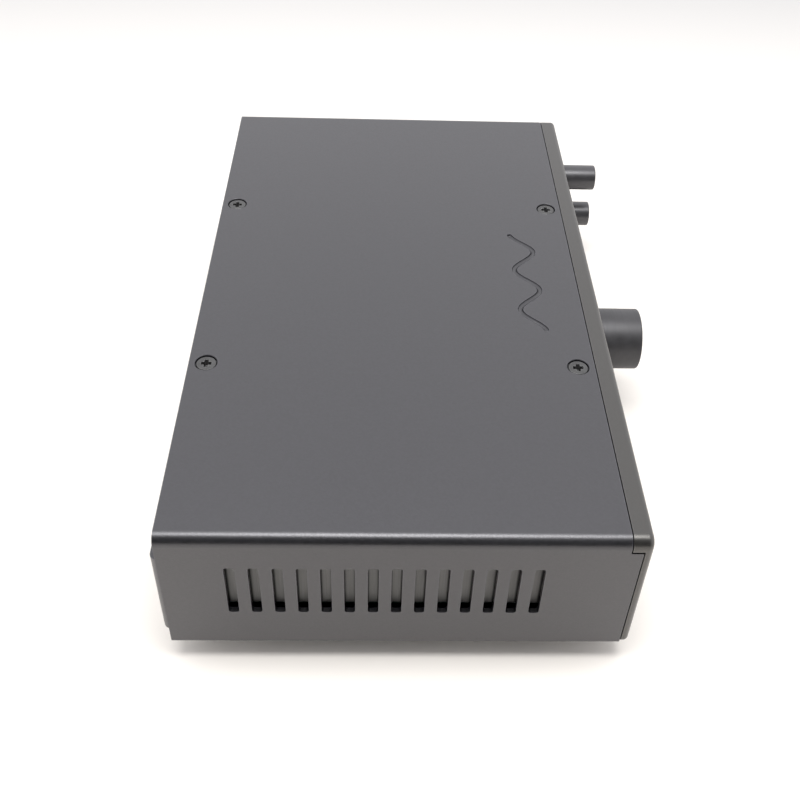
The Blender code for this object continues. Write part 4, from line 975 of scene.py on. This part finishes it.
def display():
    """Dark window with a fine chamfer, and the lip behind the panel."""
    low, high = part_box("display_window")
    front, back = low.y, high.y
    lip = PLATE_BACK + SEAM
    bm = bmesh.new()
    rings = []
    for inset, along in ((DISPLAY_CHAMFER, front), (0.0, front + DISPLAY_CHAMFER), (0.0, lip + LAP)):
        rings.append([(u, along, v) for u, v in display_outline(-inset)])
    add_rings(bm, rings)
    window = piece("window", bm, dark_glass(), ["display_window"])
    flange = bmesh.new()
    add_prism(flange, display_outline(DISPLAY_LIP), "Y", lip, back)
    shape(window, flange, "UNION")
    smooth(window, 30.0)


def jack(node, z, nose, bore, depth):
    """Jack with a rounded nose, a countersunk mouth and contact springs in its bore."""
    low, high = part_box(node)
    x = (low.x + high.x) / 2
    front, start = low.y, high.y - JACK_LENGTH[node]
    bm = bmesh.new()
    add_box(bm, (low.x, start, low.z), (high.x, high.y, high.z))
    finish = plastic("jack_plastic", (0.014, 0.014, 0.014), 0.34, 1900.0, 0.000005)
    made = piece(node + "_body", bm, finish, [node], (x, front, z))
    rod = bmesh.new()
    edge = rounded_profile([(0, front), (nose / 2, front), (nose / 2, start + LAP)], NOSE_EDGE)
    add_turned(rod, "Y", (x, z), edge + [(0, start + LAP)])
    shape(made, rod, "UNION")
    hole = bmesh.new()
    reach = bore / 2
    mouth = [(0, front - OVER), (reach + JACK_FLARE, front - OVER), (reach, front + JACK_FLARE_DEPTH)]
    add_turned(hole, "Y", (x, z), mouth + [(reach, front + depth), (0, front + depth)])
    shape(made, hole)
    soften(made, EDGE)

    springs = bmesh.new()
    half, length = bore * SPRING_HALF_WIDTH, bore * SPRING_HALF_LENGTH
    outer, inner = reach + SPRING_ROOT, reach - bore * SPRING_RISE
    section = arc((0, 0), 1.0, 0, 180, 10)
    for share, side in zip(SPRING_PLACES, (-1, 1)):
        along = front + depth * share
        outline = [(along + u * length, outer - (outer - inner) * v) for u, v in section]
        rows = [[(x + across, u, z + side * v) for u, v in outline] for across in (-half, half)]
        add_rings(springs, rows)
    smooth(piece(node + "_contacts", springs, gold()))


# Rear sockets


def xlr(node):
    """Three-pin output: block, round shell with a keyway and a latch slot, and three gold pins."""
    low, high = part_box(node)
    x, z, face = (low.x + high.x) / 2, high.z - XLR_HALF_HEIGHT, high.y
    back_of_shell = face - SOCKET_PROUD - XLR_BLOCK_SUNK
    floor_level = face - XLR_RECESS_DEPTH
    finish = plastic("socket_plastic", (0.016, 0.016, 0.017), 0.36, 1600.0, 0.000006)
    bm = bmesh.new()
    add_box(bm, tuple(low), (high.x, back_of_shell, high.z))
    made = piece(node + "_housing", bm, finish, [node], (x, face, z))
    shell = bmesh.new()
    outer, root = XLR_SHELL / 2, back_of_shell - LAP
    rim = rounded_profile([(0, root), (outer, root), (outer, face), (0, face)], NOSE_EDGE)
    add_turned(shell, "Y", (x, z), rim, FINE_ROUND)
    shape(made, shell, "UNION")
    recess = bmesh.new()
    reach = XLR_RECESS / 2
    add_rod(recess, "Y", (x, z), reach, floor_level, face + OVER, FINE_ROUND)
    shape(made, recess)
    key = bmesh.new()
    half, rim = XLR_KEY_WIDTH / 2, z - reach
    key_low = (x - half, floor_level - LAP, rim - XLR_KEY_ROOT)
    add_box(key, key_low, (x + half, face - XLR_KEY_SUNK, rim + XLR_KEY_RISE))
    shape(made, key, "UNION")
    latch = bmesh.new()
    half, rim = XLR_LATCH_WIDTH / 2, z + reach
    latch_low = (x - half, floor_level + OVER, rim - XLR_LATCH_ROOT)
    add_box(latch, latch_low, (x + half, face - XLR_LATCH_SUNK, rim + XLR_LATCH_CUT))
    shape(made, latch)
    soften(made, EDGE)

    pins = bmesh.new()
    radius, root, tip = XLR_PIN / 2, floor_level - 2 * LAP, face - XLR_PIN_SUNK
    shoulder, point = tip - radius * XLR_PIN_TIP[0], radius * XLR_PIN_TIP[1]
    profile = [(0, root), (radius, root), (radius, shoulder), (point, tip), (0, tip)]
    for angle in XLR_PIN_ANGLES:
        centre = arc((x, z), XLR_PIN_CIRCLE / 2, angle, angle, 1)[0]
        add_turned(pins, "Y", centre, rounded_profile(profile, NOSE_EDGE), PIN_ROUND)
    smooth(piece(node + "_pins", pins, gold()))


def phono(node, colour):
    """Phono socket: moulded body, nickel barrel with a collar, coloured insulator and contact."""
    low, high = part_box(node)
    x, z, end = (low.x + high.x) / 2, high.z - LINE_COLLAR / 2, high.y
    front_of_barrel = low.y + LINE_DEPTH
    rear_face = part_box("xlr_output_right")[1].y - SOCKET_PROUD
    collar, wide = rear_face + SEAM, LINE_COLLAR / 2
    barrel, pit, hole = LINE_BARREL / 2, LINE_BARREL / 2 - LINE_SLEEVE_WALL, LINE_HOLE / 2
    bm = bmesh.new()
    outside = [(pit, front_of_barrel - OVER), (barrel, front_of_barrel - OVER), (barrel, collar)]
    outside += [(wide, collar), (wide, collar + LINE_COLLAR_WALL), (barrel, collar + LINE_COLLAR_WALL)]
    outside += [(barrel, end), (pit, end)]
    add_turned(bm, "Y", (x, z), rounded_profile(outside, FINE_EDGE, 3))
    made = piece(node + "_barrel", bm, nickel(), [node], (x, end, z))
    smooth(made, 30.0)

    block = bmesh.new()
    half = LINE_BLOCK / 2
    add_box(block, (x - half, low.y, low.z), (x + half, front_of_barrel, z + half))
    body = plastic("phono_moulding", (0.018, 0.018, 0.018), 0.4)
    soften(piece(node + "_moulding", block, body), BLOCK_EDGE)

    inner = bmesh.new()
    shallow, deep, outer = end - LINE_INSULATOR_SUNK, front_of_barrel + LAP, pit - HAIR
    ring = [(hole, shallow), (pit * LINE_INSULATOR_STEP, shallow), (outer, shallow)]
    ring += [(outer, deep), (hole, deep)]
    add_turned(inner, "Y", (x, z), rounded_profile(ring, FINE_EDGE, 3))
    tone = plastic("insulator_" + node, colour, 0.35, 1400.0, 0.000004)
    smooth(piece(node + "_insulator", inner, tone, (), (x, end, z)), 30.0)

    contact = bmesh.new()
    sleeve, bore = hole - HAIR, hole - HAIR - LINE_CONTACT_WALL
    near, far = shallow - LINE_CONTACT_SUNK, end - LINE_HOLE_DEPTH
    add_turned(contact, "Y", (x, z), [(bore, near), (sleeve, near), (sleeve, far), (bore, far)])
    smooth(piece(node + "_contact", contact, gold(), (), (x, end, z)), 30.0)


def usb():
    """Square data port: bent shell with a folded mouth, moulded tongue and four contacts."""
    node = "usb_port"
    low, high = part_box(node)
    x, face, z = centre_of(node).x, high.y, centre_of(node).z
    floor_level = face - USB_MOUTH_DEPTH
    width, height, bevel = USB_MOUTH_WIDTH / 2, USB_MOUTH_HEIGHT / 2, USB_MOUTH_CORNER
    left, right, top = x - width, x + width, z + height
    mouth_outline = [(left, z - height), (right, z - height), (right, top - bevel)]
    mouth_outline += [(right - bevel, top), (left + bevel, top), (left, top - bevel)]
    bm = bmesh.new()
    add_box(bm, tuple(low), tuple(high))
    shell = piece("usb_shell", bm, nickel(), [node], (x, face, z))
    mouth = bmesh.new()
    add_prism(mouth, mouth_outline, "Y", floor_level, face + OVER)
    shape(shell, mouth)
    soften(shell, FINE_EDGE)
    tongue = bmesh.new()
    wide, tall = USB_TONGUE_WIDTH / 2, USB_TONGUE_HEIGHT / 2
    add_box(tongue, (x - wide, floor_level - LAP, z - tall), (x + wide, face - OVER, z + tall))
    pale = plastic("usb_tongue", (0.03, 0.03, 0.032), 0.4)
    soften(piece("usb_tongue", tongue, pale), FINE_EDGE)
    contacts = bmesh.new()
    half, root, proud = USB_CONTACT_WIDTH / 2, tall - USB_CONTACT_ROOT, tall + USB_CONTACT_PROUD
    for across in (x - USB_CONTACT_OFFSET, x + USB_CONTACT_OFFSET):
        for side in (-1, 1):
            near, far = sorted((z + side * root, z + side * proud))
            start = (across - half, floor_level, near)
            add_box(contacts, start, (across + half, face - USB_CONTACT_SUNK, far))
    soften(piece("usb_contacts", contacts, gold()), HAIR)


def dc_socket():
    """Power socket: moulded block with a round bore and a split centre pin."""
    node = "dc_jack"
    low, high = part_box(node)
    x, face, z = centre_of(node).x, high.y, centre_of(node).z
    floor_level = face - DC_BORE_DEPTH
    bm = bmesh.new()
    add_box(bm, tuple(low), tuple(high))
    finish = plastic("dc_plastic", (0.015, 0.015, 0.015), 0.38)
    block = piece("dc_block", bm, finish, [node], (x, face, z))
    bore = bmesh.new()
    reach = DC_BORE / 2
    mouth = [(0, face + OVER), (reach + DC_FLARE, face + OVER), (reach, face - DC_FLARE_DEPTH)]
    add_turned(bore, "Y", (x, z), mouth + [(reach, floor_level), (0, floor_level)])
    shape(block, bore)
    soften(block, FINE_EDGE)
    pin = bmesh.new()
    radius, root, tip = DC_PIN / 2, floor_level - LAP, face - OVER
    profile = [(0, root), (radius, root), (radius, tip), (0, tip)]
    add_turned(pin, "Y", (x, z), rounded_profile(profile, DC_PIN_EDGE), 40)
    made = piece("dc_pin", pin, nickel(), (), (x, face, z))
    split = bmesh.new()
    half, rise = DC_SPLIT / 2, radius + OVER
    add_box(split, (x - half, tip - DC_SPLIT_DEPTH, z - rise), (x + half, tip + OVER, z + rise))
    shape(made, split)
    smooth(made)


# Pieces kept from the CAD


def keep(node, finish, edge=EDGE):
    """Gives a CAD piece its finish and rounds its edges."""
    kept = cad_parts[node]
    for holder in kept.material_slots:
        holder.material = finish
    weld = kept.modifiers.new("weld", "WELD")
    weld.merge_threshold = 0.000001
    soften(kept, edge, 35.0, 2)


def kept_pieces():
    steel, coated = plated_steel(), cover_coat()
    black = plastic("moulded_black", (0.020, 0.020, 0.021), 0.42)
    keep("bottom_tray", steel, TRAY_EDGE)
    keep("rear_panel", coated, FINE_EDGE)
    shield = shield_steel_painted_shade()
    for side in ("left", "right"):
        keep("side_shield_" + side, shield, FINE_EDGE)
    board = circuit_board()
    keep("main_board", board)
    keep("front_board", board)
    for corner in CORNERS:
        keep("board_screw_" + corner, steel)
    keep("ribbon_cable", ribbon())
    for node in ("processor_chip", "converter_chip", "display_module", "power_switch", "optical_port"):
        keep(node, black)
    keep("optical_shutter", black, SHUTTER_EDGE)
    for where in MENU_PLACES:
        keep("menu_switch_" + where, black)
    for name in ENCODERS:
        keep(name + "_encoder", steel)
        keep(name + "_press_disc", black)
        keep(name + "_shaft", steel)
    keep("headphone_nut", steel)


def build():
    cover_sheet()
    front_plate()
    for corner in CORNERS:
        cover_screw(corner)
        rubber_foot(corner)
    knob("volume", VOLUME_SHAFT / 2 + SEAM, knob_finish("large_knob_anodised", 0.044, 0.056, 0.47))
    # Painted light: the small knobs take a lighter copy of the same anodised finish, for the brighter
    # look the light gives them where they sit.
    small_knob_painted_lighter = knob_finish("small_knob_anodised_painted_lighter", 0.060, 0.076, 0.37)
    for name in ("upper", "lower"):
        knob(name, SMALL_SHAFT / 2 + SEAM, small_knob_painted_lighter)
    button("power_button", "power_button", POWER_DISH)
    for where in MENU_PLACES:
        button("menu_button_" + where, "menu_button_" + where, MENU_DISH)
    display()
    jack("headphone_jack", MIDDLE, HEADPHONE_NOSE, HEADPHONE_BORE, HEADPHONE_BORE_DEPTH)
    jack("earphone_jack", EARPHONE_Z, EARPHONE_NOSE, EARPHONE_BORE, EARPHONE_BORE_DEPTH)
    for side in ("left", "right"):
        xlr("xlr_output_" + side)
    phono("line_output_right", (0.45, 0.02, 0.02))
    phono("line_output_left", (0.62, 0.61, 0.58))
    phono("coaxial_input", (0.50, 0.20, 0.02))
    usb()
    dc_socket()
    kept_pieces()


# Studio

FLOOR_REACH = 3.0
VIEWER_NARROWS = 1.2  # how fast the dark patch ends to either side


def floor():
    mesh = bpy.data.meshes.new("studio_floor")
    corners = rectangle((-FLOOR_REACH, -FLOOR_REACH), (FLOOR_REACH, FLOOR_REACH))
    mesh.from_pydata([(x, y, 0) for x, y in corners], [], [(0, 1, 2, 3)])
    mesh.materials.append(floor_finish())
    linked("studio_floor", mesh)


def studio_world():
    """Pale room, bright all round except for a dark patch where the viewer stands."""
    world = bpy.data.worlds.new("studio")
    world.use_nodes = True
    room = Nodes(world.node_tree)
    parts = room.add("SeparateXYZ", {0: room.add("TexCoord").outputs["Generated"]}).outputs
    aside = room.add("Math", {0: parts["Y"]}, operation="ABSOLUTE").outputs[0]
    inputs = {0: aside, 1: VIEWER_NARROWS, 2: parts["X"]}
    around = room.add("Math", inputs, operation="MULTIPLY_ADD").outputs[0]
    inputs = {"Value": around, "From Min": -0.50, "From Max": 0.80, "To Min": 0.01, "To Max": 1.45}
    strength = room.add("MapRange", inputs, interpolation_type="SMOOTHSTEP").outputs["Result"]
    back = room.tree.nodes["Background"]
    room.put(back.inputs["Strength"], strength)
    room.put(back.inputs["Color"], (0.985, 0.98, 1.0, 1.0))
    pale = room.add("Background", {"Color": (0.93, 0.93, 0.93, 1.0)})
    seen = room.add("LightPath").outputs["Is Camera Ray"]
    mixed = room.add("MixShader", {0: seen, 1: back.outputs[0], 2: pale.outputs[0]}).outputs[0]
    room.put(room.tree.nodes["World Output"].inputs["Surface"], mixed)
    bpy.context.scene.world = world


def soft_light():
    """One softbox overhead, a little to the left."""
    data = bpy.data.lights.new("softbox", "AREA")
    data.shape = "RECTANGLE"
    data.size = 0.34
    data.size_y = 0.60
    data.energy = 7.2
    data.color = (1.0, 0.995, 0.985)
    made = linked("softbox", data)
    made.location = (-0.14, 0.0, 0.90)
    made.rotation_euler = (0.0, math.radians(-8.0), 0.0)


def camera():
    """Camera above the left side, looking down across the object."""
    pitch, yaw, roll = math.radians(41.134), math.radians(-2.647), math.radians(2.46)
    ahead = Vector((math.cos(pitch) * math.cos(yaw), math.cos(pitch) * math.sin(yaw), -math.sin(pitch)))
    level = Vector((math.sin(yaw), -math.cos(yaw), 0.0))
    upward = level.cross(ahead)
    right = level * math.cos(roll) + upward * math.sin(roll)
    up = upward * math.cos(roll) - level * math.sin(roll)
    data = bpy.data.cameras.new("camera")
    data.lens = 46.483
    data.sensor_width = 36.0
    data.shift_x = -0.01525
    data.shift_y = -0.06564
    made = linked("camera", data)
    turn = Matrix((right, up, -ahead)).transposed().to_4x4()
    made.matrix_world = Matrix.Translation((-0.26869, FRONT + 0.07098, 0.2569)) @ turn
    bpy.context.scene.camera = made


camera()
floor()
studio_world()
soft_light()
bpy.context.scene.view_settings.view_transform = "Standard"
build()
